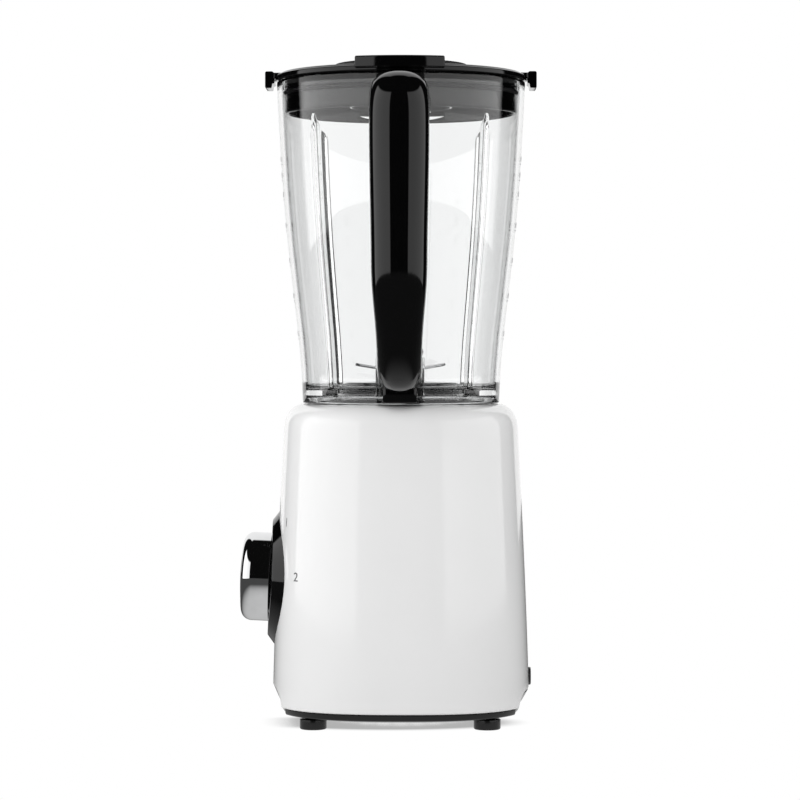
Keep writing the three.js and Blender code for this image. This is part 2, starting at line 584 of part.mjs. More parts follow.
// ---------- blade unit ----------
const zCarrier = zJugFloor - BOSS_DEPTH - SEAL_THICK - 2 * GAP; // top of the carrier's flange
const CARRIER_FLANGE = 2.6;
const zDome = zJugFloor + JUG_FLOOR + 4; // top of the carrier
function collar() {
  const low = zCollar;
  const lip = zCarrier - CARRIER_FLANGE - GAP;
  const lipR = bossR - COLLAR_LIP;
  const body = turned([[lipR, low], [collarR - 1, low], [collarR, low + 1], [collarR, zJug + 3],
    [bossR + GAP, zJug + 3], [bossR + GAP, lip], [lipR, lip], [lipR, low]], FACETS);
  const grips = aroundCircle(10, (a) => turnZ(at(disc(1.8, low + 2, zJug + 1, 6), collarR + 0.4, 0), a + 0.08));
  return cut(body, grips);
}
const carrierR = bossR - BOSS_WALL - GAP;
const SOCKET_R = 21;
const bladeCarrier = () =>
  turned([[SOCKET_R + RUNNING_GAP + 0.5, zCarrier - CARRIER_FLANGE], [bossR - GAP, zCarrier - CARRIER_FLANGE],
    [bossR - GAP, zCarrier], [carrierR, zCarrier], [carrierR, zDome - 4], [carrierR - 5, zDome - 1],
    [BUSH_R + 6, zDome], [BUSH_R + GAP, zDome], [BUSH_R + GAP, zDome - 9], [SOCKET_R + RUNNING_GAP + 0.5, zDome - 9],
    [SOCKET_R + RUNNING_GAP + 0.5, zCarrier - CARRIER_FLANGE]], 32);
const bladeSeal = () => ring(carrierR + GAP, bossR - GAP, zCarrier + GAP, zCarrier + GAP + SEAL_THICK, 32);
const bladeBush = () =>
  turned([[BLADE_SHAFT_R + GAP, zDome - 10], [BUSH_R, zDome - 10], [BUSH_R, zDome + GAP], [BUSH_R + 2.5, zDome + GAP],
    [BUSH_R + 2.5, zDome + 1.6], [BUSH_R - 1, zDome + 2.6], [BLADE_SHAFT_R + GAP, zDome + 2.6],
    [BLADE_SHAFT_R + GAP, zDome - 10]]);
const zBlade = zDome + BLADE_CLEAR;
const zSocketTop = zDome - 10 - RUNNING_GAP;
const zSocketLow = zCollar + 3.4;
const bladeShaft = () => turned([[0, zSocketTop - 3], [BLADE_SHAFT_R, zSocketTop - 3], [BLADE_SHAFT_R, zBlade - 2.4],
  [BLADE_SHAFT_R - 1, zBlade - 2.4], [BLADE_SHAFT_R - 1, zBlade + 8], [0, zBlade + 8]]);
const thrustWasher = () => ring(BLADE_SHAFT_R - 1 + GAP, 7, zBlade - 2.4 + GAP, zBlade - GAP);
function drivenCoupling() {
  const floor = zCoupling + COUPLING_HEIGHT + RUNNING_GAP;
  return cut(disc(SOCKET_R, zSocketLow, zSocketTop, 32), [
    slab(lobes(RUNNING_GAP), zSocketLow - 2, floor - zSocketLow + 2),
    disc(BLADE_SHAFT_R + GAP, zSocketTop - 3 - GAP, zSocketTop + 1),
  ]);
}
// A two-armed blade: a flat middle and two arms bent to an angle, each ground to a point.
function blade(low, reach, bend, twist) {
  const half = new THREE.Shape([V2(-0.5, -7), V2(9, -7), V2(reach, -2.6), V2(reach - 2, 2.2), V2(9, 6), V2(-0.5, 7)]);
  const hub = disc(8.5, 0, BLADE_THICK, 20);
  const arm = slab(half, 0, BLADE_THICK);
  const bent = at(arm.rotate([0, -bend, 0]), 6, 0, 0.2);
  const both = unite([hub, bent, turnZ(bent, Math.PI)]);
  return turnZ(cut(both, [disc(BLADE_SHAFT_R - 1 + GAP, -3, 5, 20)]), twist).translate([0, 0, low]);
}
const lowerBlade = () => blade(zBlade, BLADE_REACH, 8, 0.5);
const upperBlade = () => blade(zBlade + BLADE_THICK + 1, BLADE_REACH - 5, 34, 0.5 + Math.PI / 2);
function bladeNut() {
  const low = zBlade + 2 * BLADE_THICK + 1 + 1.2;
  const hex = turned([[BLADE_SHAFT_R - 1 + GAP, low], [6.5, low], [6.5, low + 4.5], [5.2, low + 5], [4.4, low + 8.6],
    [0, low + 10], [0, low + 7.6], [BLADE_SHAFT_R - 1 + GAP, low + 7.6], [BLADE_SHAFT_R - 1 + GAP, low]]);
  const flats = aroundCircle(6, (a) => turnZ(block(8, 0, low - 1, 4.4, 16, 5.4), a));
  return cut(hex, flats);
}

// ---------- handle ----------
// Outline of the whole handle seen from the side, as distance out from the axis (drawn toward -Y) and height.
function handleOutline(inset) {
  const out = handleOut - inset;
  const topOut = zRim - 2.4 - inset;
  const inOuter = out - GRIP_THICK + 2 * inset;
  const s = new THREE.Shape();
  const p = (d, z) => [-d, z];
  s.moveTo(...p(50, topOut));
  s.lineTo(...p(out - 14, topOut));
  s.quadraticCurveTo(...p(out, topOut), ...p(out, topOut - 14));
  s.lineTo(...p(out, zJug + 78));
  s.quadraticCurveTo(...p(out, zJug + 34), ...p(out - 18, zJug + 10 + inset));
  s.quadraticCurveTo(...p(out - 23, zJug + 5 + inset), ...p(out - 32, zJug + 3 + inset));
  s.lineTo(...p(50, zJug + 1 + inset));
  s.lineTo(...p(50, zJug + 15 - inset));
  s.lineTo(...p(JUG_LOW_R + 8, zJug + 17 - inset));
  s.quadraticCurveTo(...p(inOuter - 6, zJug + 24 - inset), ...p(inOuter - 1.5, zJug + 58));
  s.lineTo(...p(inOuter, zJug + 78));
  s.lineTo(...p(inOuter, zRim - 34));
  s.quadraticCurveTo(...p(inOuter, zRim - 20 + inset), ...p(inOuter - 14, zRim - 20 + inset));
  s.lineTo(...p(50, zRim - 24 + inset));
  s.closePath();
  return s;
}
// The handle's outline seen from outside: a round-headed bar that narrows toward the bottom.
function handleFront(shrink) {
  const w = HANDLE_WIDTH / 2 - shrink;
  const v = HANDLE_LOW_WIDTH / 2 - shrink;
  const top = zRim - 2;
  const low = zJug + 1;
  const s = new THREE.Shape();
  s.moveTo(-w, top - 22);
  s.quadraticCurveTo(-w, top - 3, -w * 0.45, top - 0.5);
  s.lineTo(w * 0.45, top - 0.5);
  s.quadraticCurveTo(w, top - 3, w, top - 22);
  s.lineTo(w, low + 78);
  s.lineTo(v, low + 18);
  s.quadraticCurveTo(v, low + 6, v * 0.5, low - 1);
  s.lineTo(-v * 0.5, low - 1);
  s.quadraticCurveTo(-v, low + 6, -v, low + 18);
  s.lineTo(-w, low + 78);
  s.closePath();
  const g = new THREE.ExtrudeGeometry(s, { depth: 200, bevelEnabled: false, curveSegments: 6 });
  return solid(g.rotateX(Math.PI / 2));
}
// Everything inside the jug's outer wall, and a little beyond it.
const jugBulk = (beyond) => turned([[0, zJug - 5], [jugRadius(zJug) + beyond, zJug - 5],
  ...jugHeights.map((z) => [jugRadius(z) + beyond, z]), [jugRadius(zRim) + beyond, zRim + 20], [0, zRim + 20]], FACETS);
// The channel down the jug side of the grip that the liner closes.
function linerSpace(shrink) {
  const inner = handleOut - GRIP_THICK;
  const low = zJug + 70;
  const high = zRim - 40;
  return block(0, -(inner + LINER_THICK / 2 - shrink / 2), low + shrink, HANDLE_WIDTH - 12 - 2 * shrink,
    LINER_THICK + (shrink ? -shrink : 2), high - low - 2 * shrink);
}
const screwHeights = [zJug + 82, zRim - 52];
const linerScrewHole = (r, from, to, z) =>
  solid(new THREE.CylinderGeometry(r, r, to - from, 16).translate(0, (from + to) / 2, 0)).translate([0, 0, z]);
function handleGrip() {
  const whole = sideSlab(handleOutline(0), HANDLE_WIDTH + 4).intersect(handleFront(0));
  const inner = handleOut - GRIP_THICK;
  return cut(whole, [
    jugBulk(GAP),
    linerSpace(0),
    ...Object.values(lugSpots).map((spot) => handleLug(spot, GAP)),
    ...screwHeights.map((z) => linerScrewHole(SCREW_R + GAP, -(inner + 14), -inner, z)),
  ]);
}
const handleLiner = () => {
  const inner = handleOut - GRIP_THICK;
  return cut(linerSpace(GAP), screwHeights.flatMap((z) => [
    linerScrewHole(SCREW_R + GAP, -(inner + 10), -(inner - 5), z),
    linerScrewHole(3.2, -(inner + 1.6), -(inner - 5), z),
  ]));
};
const linerScrew = (z) => {
  const inner = handleOut - GRIP_THICK;
  return unite([
    linerScrewHole(SCREW_R, -(inner + 12), -(inner + 1), z),
    linerScrewHole(2.8, -(inner + 1.6 - GAP), -(inner + 0.2), z),
  ]);
};

// ---------- lid ----------
const skirtLow = zFlange - SKIRT_DEPTH;
const skirtR = jugRadius(skirtLow) - JUG_WALL - 1;
const zGroove = zFlange - 9; // underside of the seal's groove round the skirt
const GROOVE_HEIGHT = 3;
function lid() {
  const top = zLid;
  const body = turned([
    [skirtR, skirtLow], [skirtR, zGroove], [skirtR - 1, zGroove], [skirtR - 1, zGroove + GROOVE_HEIGHT],
    [skirtR, zGroove + GROOVE_HEIGHT], [skirtR, zFlange], [FLANGE_R, zFlange], [FLANGE_R, zFlange + FLANGE_THICK],
    [FLANGE_R - 1.6, top - 0.6], [FLANGE_R - 3, top], [FILLER_R, top], [FILLER_R, top - 12],
    [FILLER_R + 2.2, top - 12], [FILLER_R + 2.2, top - 2.4], [skirtR - SKIRT_WALL, top - 2.4],
    [skirtR - SKIRT_WALL, skirtLow], [skirtR, skirtLow],
  ], FACETS, (x, y, z) => (Math.hypot(x, y) > skirtR + 1 ? spoutOut(x, y, zRim, zRim - 1, zRim, SPOUT_REACH).with(2, z) : [x, y, z]));
  const tab = unite([
    block(TAB_REACH - 2, 0, top + 0.8 - TAB_HEIGHT, 4, TAB_WIDTH, TAB_HEIGHT),
    block((FLANGE_R - 4 + TAB_REACH) / 2, 0, zFlange + 0.4, TAB_REACH - FLANGE_R + 3, TAB_WIDTH - 3, 5.4),
  ]);
  const tabGrooves = [-2, -1, 0, 1, 2].map((i) =>
    at(disc(0.6, top - TAB_HEIGHT - 1, top + 3, 8), TAB_REACH + 0.15, i * 4));
  const tabs = [0, Math.PI].map((a) => turnZ(cut(tab, tabGrooves), a));
  const lug = ring(FLANGE_R - 12, LUG_REACH, zFlange + FLANGE_THICK - 1, zFlange + FLANGE_THICK - 1 + LUG_HEIGHT, 60)
    .intersect(block(0, -LUG_REACH, zFlange, LUG_WIDTH, 60, 20));
  const strainerSlit = block(0, skirtR, skirtLow + 2, LUG_WIDTH, 14, 2.2);
  return cut(unite([body, ...tabs, lug]), [strainerSlit]);
}
const lidSeal = () => {
  const low = zGroove + GAP;
  const high = zGroove + GROOVE_HEIGHT - GAP;
  const lipR = jugRadius(low) - JUG_WALL - 0.6;
  return turned([[skirtR - 1 + GAP, low], [skirtR, low], [lipR, (low + high) / 2], [skirtR, high],
    [skirtR - 1 + GAP, high], [skirtR - 1 + GAP, low]], FACETS);
};
function fillerCap() {
  const low = zLid + GAP;
  const plugR = FILLER_R - 0.6;
  const body = turned([
    [plugR - CAP_WALL, zLid - 20], [plugR, zLid - 20], [plugR, low], [CAP_R - 0.6, low], [CAP_R, low + 0.6],
    [CAP_R, low + CAP_THICK - 1], [CAP_R - 1.2, low + CAP_THICK], [0, low + CAP_THICK],
    [0, low + CAP_THICK - 2.2], [plugR - CAP_WALL, low + CAP_THICK - 2.2], [plugR - CAP_WALL, zLid - 20],
  ], FACETS);
  const grooves = aroundCircle(CAP_RIBS, (a) => turnZ(at(disc(1.4, low - 1, low + CAP_THICK + 1, 4), CAP_R + 0.5, 0), a + 0.05));
  return cut(body, grooves);
}

// ---------- materials ----------
const finish = (color, roughness, metalness = 0, extra = {}) =>
  new THREE.MeshStandardMaterial({ color, roughness, metalness, ...extra });
const whitePlastic = finish(0xf4f4f4, 0.15);
const blackPlastic = finish(0x0c0c0d, 0.12);
const darkPlastic = finish(0x1b1b1c, 0.45);
const clearPlastic = finish(0xf2f6f8, 0.05, 0, { transparent: true, opacity: 0.3 });
const rubber = finish(0x151515, 0.7);
const silicone = finish(0x2a2a2c, 0.55);
const chrome = finish(0xd8d9da, 0.08, 1);
const steel = finish(0xb8babc, 0.25, 1);
const castAlloy = finish(0x9da0a2, 0.45, 1);
const copper = finish(0xb06a3a, 0.35, 1);
const lamination = finish(0x55585c, 0.5, 1);
const carbon = finish(0x2c2c2e, 0.6);
const printWhite = finish(0xf0f0f0, 0.4);

// ---------- assembly ----------
const blender = new THREE.Group();
function add(name, part, material) {
  const mesh = new THREE.Mesh(geometryOf(part), material);
  mesh.name = name;
  blender.add(mesh);
}

add("housing", housing(), whitePlastic);
add("base_plate", basePlate(), blackPlastic);
footSpots.forEach(([x, y], i) => add(`foot_${i + 1}`, at(foot(), x, y), rubber));
screwSpots.forEach(([x, y], i) => add(`plate_screw_${i + 1}`, at(plateScrew(), x, y), steel));
add("cord_gland", cordGland(), darkPlastic);
add("knob_bezel", knobBezel(), blackPlastic);
add("knob_shell", knobShell(), chrome);
add("knob_core", knobCore(), darkPlastic);
add("knob_pointer", knobPointer(), printWhite);
add("switch_spindle", switchSpindle(), steel);
add("rotary_switch", rotarySwitch(), darkPlastic);
add("stator_core", statorCore(), lamination);
add("field_coil_front", fieldCoil(-1), copper);
add("field_coil_rear", fieldCoil(1), copper);
add("upper_bearing_bracket", bearingBracket(zUpper, -1), castAlloy);
add("lower_bearing_bracket", bearingBracket(zLower, 1), castAlloy);
add("upper_bearing", bearing(zUpper), steel);
add("lower_bearing", bearing(zLower), steel);
[-1, 1].forEach((side, i) => {
  add(`brush_holder_${i + 1}`, brushHolder(side), darkPlastic);
  add(`carbon_brush_${i + 1}`, carbonBrush(side), carbon);
});
mountSpots.forEach(([x, y], i) => add(`motor_mount_${i + 1}`, at(motorMount(), x, y), rubber));
add("motor_shaft", motorShaft(), steel);
add("armature_core", armatureCore(), lamination);
add("armature_winding_top", armatureWinding(zStator + STATOR_HEIGHT + GAP, zStator + STATOR_HEIGHT + COIL_END), copper);
add("armature_winding_bottom", armatureWinding(zStator - COIL_END, zStator - GAP), copper);
add("commutator", commutator(), copper);
add("cooling_fan", coolingFan(), darkPlastic);
add("drive_coupling", driveCoupling(), darkPlastic);
add("drip_guard", dripGuard(), silicone);
add("interlock_pin", interlockPin(), darkPlastic);
add("interlock_switch", interlockSwitch(), darkPlastic);
add("jug", jug(), clearPlastic);
add("collar", collar(), blackPlastic);
add("blade_carrier", bladeCarrier(), blackPlastic);
add("blade_seal", bladeSeal(), silicone);
add("blade_bush", bladeBush(), castAlloy);
add("blade_shaft", bladeShaft(), steel);
add("thrust_washer", thrustWasher(), steel);
add("driven_coupling", drivenCoupling(), darkPlastic);
add("lower_blade", lowerBlade(), steel);
add("upper_blade", upperBlade(), steel);
add("blade_nut", bladeNut(), steel);
add("handle_grip", handleGrip(), blackPlastic);
add("handle_liner", handleLiner(), darkPlastic);
screwHeights.forEach((z, i) => add(`handle_screw_${i + 1}`, linerScrew(z), steel));
add("lid", lid(), blackPlastic);
add("lid_seal", lidSeal(), silicone);
add("filler_cap", fillerCap(), blackPlastic);

// The origin is under the middle of the footprint: knob to rear tab in X, handle to spout in Y.
const knobFront = dialX - KNOB_LENGTH * Math.cos(DIAL_TILT);
blender.position.set(-(knobFront + TAB_REACH) / 2, (handleOut - FLANGE_R - SPOUT_REACH) / 2, 0);

export default blender;
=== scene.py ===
"""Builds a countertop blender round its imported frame: a white motor base with a front dial, a clear jug with a
black side handle, and a black lid with a filler cap.

Lengths in the shape functions are millimetres about the drive axis, +Z up. The dial faces -X, the handle -Y and the
pouring spout +Y. piece() turns them into metres in the frame's own coordinates.
"""

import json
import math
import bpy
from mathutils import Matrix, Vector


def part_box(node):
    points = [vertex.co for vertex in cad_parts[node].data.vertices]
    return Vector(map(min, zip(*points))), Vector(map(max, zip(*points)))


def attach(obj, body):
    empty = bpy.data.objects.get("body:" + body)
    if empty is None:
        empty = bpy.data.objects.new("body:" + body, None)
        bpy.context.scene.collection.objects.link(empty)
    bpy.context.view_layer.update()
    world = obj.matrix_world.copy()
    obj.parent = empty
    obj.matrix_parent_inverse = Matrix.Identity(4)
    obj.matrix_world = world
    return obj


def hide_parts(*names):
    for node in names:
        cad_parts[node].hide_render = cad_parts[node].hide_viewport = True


bl_info = {
    "name": "Countertop Blender",
    "version": (1, 0, 0),
    "blender": (4, 5, 0),
    "location": "View3D > Sidebar > Blender",
    "description": "Builds the base, dial, jug, blades, handle and lid of a countertop blender",
    "category": "Object",
}

import bmesh
import bpy
import numpy as np

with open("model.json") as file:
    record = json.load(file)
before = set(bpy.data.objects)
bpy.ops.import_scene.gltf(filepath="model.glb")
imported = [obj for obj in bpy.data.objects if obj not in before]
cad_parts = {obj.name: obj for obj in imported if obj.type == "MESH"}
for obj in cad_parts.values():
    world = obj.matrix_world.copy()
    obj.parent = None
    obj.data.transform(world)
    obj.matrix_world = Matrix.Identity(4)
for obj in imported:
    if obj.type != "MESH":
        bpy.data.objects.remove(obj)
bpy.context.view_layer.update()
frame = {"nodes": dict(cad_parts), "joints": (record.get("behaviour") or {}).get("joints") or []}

MM = 0.001
SPIN = next(j for j in frame["joints"] if j["name"] == "rotor_spin")
AXIS = np.array([SPIN["pos_m"][0], SPIN["pos_m"][1], 0.0])


def low_mm(node):
    """Lowest corner of a frame node in millimetres about the drive axis."""
    return (np.array(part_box(node)[0]) - AXIS) / MM


def high_mm(node):
    """Highest corner of a frame node in millimetres about the drive axis."""
    return (np.array(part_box(node)[1]) - AXIS) / MM


def middle_mm(node):
    """Middle of a frame node in millimetres about the drive axis."""
    return 0.5 * (low_mm(node) + high_mm(node))


# Heights that the frame gives.
Z_SHELL = low_mm("housing")[2]
Z_TOP = high_mm("housing")[2]
Z_PLATE = low_mm("base_plate")[2]
Z_JUG = Z_TOP + 0.3
Z_RIM = high_mm("jug")[2]
Z_COLLAR = low_mm("collar")[2]
Z_SEAT = Z_COLLAR - 1.1
Z_FLANGE = Z_RIM + 0.3
Z_LID = Z_FLANGE + 4.5
Z_CAP = high_mm("filler_cap")[2]
Z_FLOOR = Z_JUG + 9.0  # top of the jug's floor
COLLAR_R = high_mm("collar")[0]
SEAT_R = COLLAR_R + 2.5
BOSS_R = COLLAR_R - 9.0
BUSH_R = 8.0  # outer radius of the blade shaft's bush
FOOT_R = 7.8
FOOT_SPREAD = 1.015  # the feet stand this much wider than the frame's, front to back
FEET = [tuple(middle_mm(f"foot_{i}")[:2] * (FOOT_SPREAD, 1)) for i in (1, 2, 3, 4)]
SCREWS = [tuple(middle_mm(f"plate_screw_{i}")[:2]) for i in (1, 2, 3, 4)]

# The shell's walls.
HALF_LOW, HALF_HIGH = 75.6, 69.1
WALL = 2.6
SQUARENESS = 2.6  # exponent of the plan's superellipse
SHOULDER_WIDE, SHOULDER_HIGH = 11.5, 14.0
ARCH_HALF = 41.5
ARCH_FRONT, ARCH_REAR = 10.9, 8.8
SHAFT_HOLE_R = 11.0

# The dial's own frame: u up the shell, v along +Y, w out along the knob's axis.
DIAL_Z = 84.4
DIAL_TILT = math.radians(2.7)
KNOB_R = 26.2
KNOB_FRONT = 17.8  # how far the knob's face stands out
POINTER_R = 16.0  # middle of the knob's pointer
MARK_R = 51.6  # ring of the numbers round the dial
BEZEL_R, BEZEL_FLARE = 34.5, 5.2
BEZEL_BOW = 2.4  # how far the bezel's front curves back at its sides

# The jug: share of the widening reached at each tenth of its height.
JUG_LOW_R, JUG_HIGH_R = 58.2, 73.6
JUG_SWELL = np.array([0, 0.05, 0.159, 0.305, 0.448, 0.585, 0.698, 0.793, 0.869, 0.937, 1])
JUG_WALL = 3.0
RIB_HALF = 1.05  # half a rib's thickness
RIB_BELOW_RIM, RIB_END = 25.0, 6.5  # where the ribs stop, and the quarter circle that ends them
SPOUT_REACH, SPOUT_HIGH = 9.0, 26.0
FLANGE_R = 74.4
SKIRT_LOW = Z_FLANGE - 19.6
TAB_REACH, TAB_HALF = 80.1, 11.0
FILLER_R, PLUG_R, CAP_R = 31.5, 30.9, 40.0


# ---------- settings a user may change ----------
def colour_property(name, description, default):
    """A colour swatch property."""
    return bpy.props.FloatVectorProperty(
        name=name, description=description, default=default, subtype="COLOR", size=3, min=0.0, max=1.0
    )


class BlenderFinishes(bpy.types.PropertyGroup):
    """Colours of the blender's plastics and prints."""

    body_colour: colour_property("Body", "Colour of the motor base's gloss shell", (0.80, 0.80, 0.80))
    trim_colour: colour_property("Trim", "Colour of the gloss lid, handle and bezel", (0.0014, 0.0014, 0.0015))
    satin_colour: colour_property("Satin parts", "Colour of the satin fittings", (0.010, 0.010, 0.0105))
    jug_colour: colour_property("Jug", "Tint of the clear jug", (0.985, 0.99, 0.99))
    print_colour: colour_property("Prints", "Colour of the numbers and measuring marks", (0.09, 0.09, 0.095))


class BlenderSizes(bpy.types.PropertyGroup):
    """Sizes of the details that the frame leaves free."""

    knob_dome: bpy.props.FloatProperty(
        name="Knob dome", description="How far the knob's face bulges", default=1.7 * MM, unit="LENGTH"
    )
    digit_height: bpy.props.FloatProperty(
        name="Dial digits", description="Height of the numbers round the dial", default=5.3 * MM, unit="LENGTH"
    )
    cap_ribs: bpy.props.IntProperty(
        name="Cap ribs", description="Number of grip ribs round the filler cap", default=90, min=12, max=160
    )
    jug_ribs: bpy.props.FloatProperty(
        name="Jug ribs", description="How far the four ribs stand in from the jug's wall", default=4.2 * MM,
        unit="LENGTH"
    )
    handle_crown: bpy.props.FloatProperty(
        name="Handle crown", description="Depth of the handle's rounded outer half", default=13.6 * MM, unit="LENGTH"
    )


class BlenderStage(bpy.types.PropertyGroup):
    """Light levels of the stage."""

    side_light: bpy.props.FloatProperty(
        name="Side panels", description="Brightness of the two tall side panels", default=1.45, min=0.0
    )
    top_light: bpy.props.FloatProperty(
        name="Top panel", description="Brightness of the panel overhead", default=1.0, min=0.0
    )
    ambient: bpy.props.FloatProperty(
        name="Ambient", description="Brightness of the room's fill light", default=0.50, min=0.0
    )


# ---------- surfaces ----------
def rounded(corners, steps=5, closed=True):
    """A polyline through [a, b, radius] corners. Each corner gives way to the arc of its radius that touches both
    sides: a quadratic curve whose middle weight is the sine of half the corner's inside angle."""
    rows = np.array(corners, float)
    p, radius = rows[:, :2], rows[:, 2]
    back, ahead = np.roll(p, 1, 0) - p, np.roll(p, -1, 0) - p
    long_back, long_ahead = np.linalg.norm(back, axis=1), np.linalg.norm(ahead, axis=1)
    back, ahead = back / long_back[:, None], ahead / long_ahead[:, None]
    half = 0.5 * np.arccos(np.clip((back * ahead).sum(1), -1, 1))
    trim = np.minimum(radius / np.tan(np.maximum(half, 1e-3)), 0.49 * np.minimum(long_back, long_ahead))
    if not closed:
        trim[[0, -1]] = 0
    t = np.linspace(0, 1, steps + 1)[None, :, None]
    weight = np.sin(half)[:, None, None]
    start, end, peak = (p + back * trim[:, None])[:, None], (p + ahead * trim[:, None])[:, None], p[:, None]
    top = (1 - t) ** 2 * start + 2 * t * (1 - t) * weight * peak + t**2 * end
    return (top / ((1 - t) ** 2 + 2 * t * (1 - t) * weight + t**2)).reshape(-1, 2)


def round_angles(count):
    """Evenly spaced angles round a full turn, without the last."""
    return np.arange(count) * (2 * np.pi / count)


def turned(profile, segments=96, grow=None):
    """A turned surface: each profile point [radius, height] goes round the Z axis. grow(angle, radius, height) may
    give another radius at each angle."""
    a = round_angles(segments)[:, None]
    r, z = np.broadcast_arrays(profile[None, :, 0], profile[None, :, 1])
    r, z = np.repeat(r, segments, 0), np.repeat(z, segments, 0)
    if grow is not None:
        r = grow(a, r, z)
    return np.stack([r * np.cos(a), r * np.sin(a), z], -1)


def capped(rows):
    """A tube closed at both ends: its first and last rows shrink to their own middles."""
    first, last = rows[:1].mean(1, keepdims=True), rows[-1:].mean(1, keepdims=True)
    ones = np.ones((1, rows.shape[1], 1))
    return np.concatenate([first * ones, rows, last * ones])


def prism(outline, low, high, edge=0.0, steps=4):
    """A closed outline [k, 2] carried from one height to another, its rims rounded: near each end the outline moves in
    along its own normals by edge times one minus the cosine while the height moves by edge times one minus the sine."""
    along = np.roll(outline, -1, 0) - np.roll(outline, 1, 0)
    normal = np.stack([along[:, 1], -along[:, 0]], -1)
    normal /= np.maximum(np.linalg.norm(normal, axis=1, keepdims=True), 1e-9)
    x, y = outline[:, 0], outline[:, 1]
    if np.sum(x * np.roll(y, -1) - y * np.roll(x, -1)) < 0:
        normal = -normal
    a = np.linspace(0, np.pi / 2, steps + 1) if edge else np.array([np.pi / 2])
    inset = edge * (1 - np.sin(a))
    rise = edge * (1 - np.cos(a)) if edge else np.zeros(1)
    inset = np.concatenate([inset, inset[::-1]])
    z = np.concatenate([low + rise, (high - rise)[::-1]])
    flat = outline[None] - inset[:, None, None] * normal[None]
    rows = np.concatenate([flat, np.broadcast_to(z[:, None, None], flat.shape[:2] + (1,))], -1)
    return capped(rows)


def rounded_rect(half_x, half_y, radius, steps=6):
    """Outline of a rectangle with round corners."""
    return rounded(
        [[-half_x, -half_y, radius], [half_x, -half_y, radius], [half_x, half_y, radius], [-half_x, half_y, radius]],
        steps
    )


def spline(points, count):
    """A smooth curve guided by control points: a uniform cubic B-spline, where each stretch is the weighted mean of
    four neighbouring points, with the end points repeated so that the curve reaches them."""
    p = np.array(points, float)
    p = np.concatenate([p[:1], p[:1], p, p[-1:], p[-1:]])
    t = np.linspace(0, len(p) - 3 - 1e-9, count)
    i = t.astype(int)
    f = (t - i)[:, None]
    weights = [(1 - f) ** 3, 3 * f**3 - 6 * f**2 + 4, -3 * f**3 + 3 * f**2 + 3 * f + 1, f**3]
    return sum(w * p[i + k] for k, w in enumerate(weights)) / 6


def smooth_step(x):
    """0 below 0, 1 above 1 and an S between them."""
    t = np.clip(x, 0, 1)
    return t * t * (3 - 2 * t)


def spin(points, angle):
    """Points turned round the Z axis."""
    c, s = math.cos(angle), math.sin(angle)
    return points @ np.array([[c, s, 0], [-s, c, 0], [0, 0, 1]])


# ---------- pieces ----------
def mesh_of(name, patches, sharp=32):
    """One mesh from grids of points. A patch is (points[m, n, 3], wrap_m, wrap_n): a face joins four neighbours, and a
    wrapped side joins its last row to its first. Rows that meet in one point become a pole."""
    points, faces, base = [], [], 0
    for grid, wrap_m, wrap_n in patches:
        m, n = grid.shape[:2]
        i, j = np.meshgrid(np.arange(m if wrap_m else m - 1), np.arange(n if wrap_n else n - 1), indexing="ij")
        i2, j2 = (i + 1) % m, (j + 1) % n
        faces.append(np.stack([i * n + j, i2 * n + j, i2 * n + j2, i * n + j2], -1).reshape(-1, 4) + base)
        points.append(grid.reshape(-1, 3))
        base += m * n
    places = np.concatenate(points) * MM + AXIS
    corners = np.concatenate(faces)
    mesh = bpy.data.meshes.new(name)
    mesh.vertices.add(len(places))
    mesh.vertices.foreach_set("co", places.astype(np.float32).ravel())
    mesh.loops.add(corners.size)
    mesh.loops.foreach_set("vertex_index", corners.astype(np.int32).ravel())
    mesh.polygons.add(len(corners))
    mesh.polygons.foreach_set("loop_start", np.arange(0, corners.size, 4, dtype=np.int32))
    mesh.update(calc_edges=True)
    tidy_mesh(mesh, sharp)
    return mesh


def tidy_mesh(mesh, sharp):
    """Merges doubled points, drops faces without area, turns all faces outwards and marks its sharp edges."""
    bm = bmesh.new()
    bm.from_mesh(mesh)
    bmesh.ops.remove_doubles(bm, verts=bm.verts, dist=4e-7)
    bmesh.ops.dissolve_degenerate(bm, edges=bm.edges, dist=4e-7)
    bmesh.ops.recalc_face_normals(bm, faces=bm.faces)
    bm.to_mesh(mesh)
    bm.free()
    mesh.shade_smooth()
    mesh.set_sharp_from_angle(angle=math.radians(sharp))


def piece(name, patches, body, slot, nodes=(), sharp=32, cutters=None):
    """Adds one finished piece to the blender: its mesh, the material of its slot and the body that it rides on, and
    hides the frame nodes that it stands for. Edges sharper than so many degrees stay crisp."""
    obj = bpy.data.objects.new(name, mesh_of(name, patches, sharp))
    bpy.context.scene.collection.objects.link(obj)
    if cutters:
        carve(obj, cutters, sharp)
    obj.data.materials.append(finish_of(slot))
    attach(obj, body)
    if nodes:
        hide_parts(*nodes)


def carve(obj, patches, sharp):
    """Cuts the solids that the patches bound out of a piece, and keeps the cut mesh."""
    tool = bpy.data.objects.new(obj.name + "_tool", mesh_of(obj.name + "_tool", patches, 180))
    bpy.context.scene.collection.objects.link(tool)
    cut = obj.modifiers.new("Holes", "BOOLEAN")
    cut.operation, cut.solver, cut.object = "DIFFERENCE", "EXACT", tool
    bpy.context.view_layer.update()
    made = bpy.data.meshes.new_from_object(obj.evaluated_get(bpy.context.evaluated_depsgraph_get()))
    obj.modifiers.clear()
    old, obj.data = obj.data, made
    made.name = obj.name
    bpy.data.meshes.remove(old)
    bpy.data.objects.remove(tool)
    made.shade_smooth()
    made.set_sharp_from_angle(angle=math.radians(sharp))


# ---------- materials ----------
def shader(name):
    """A new material, its nodes, its links and its Principled shader."""
    material = bpy.data.materials.new(name)
    material.use_nodes = True
    nodes, links = material.node_tree.nodes, material.node_tree.links
    return material, nodes, links, nodes["Principled BSDF"]


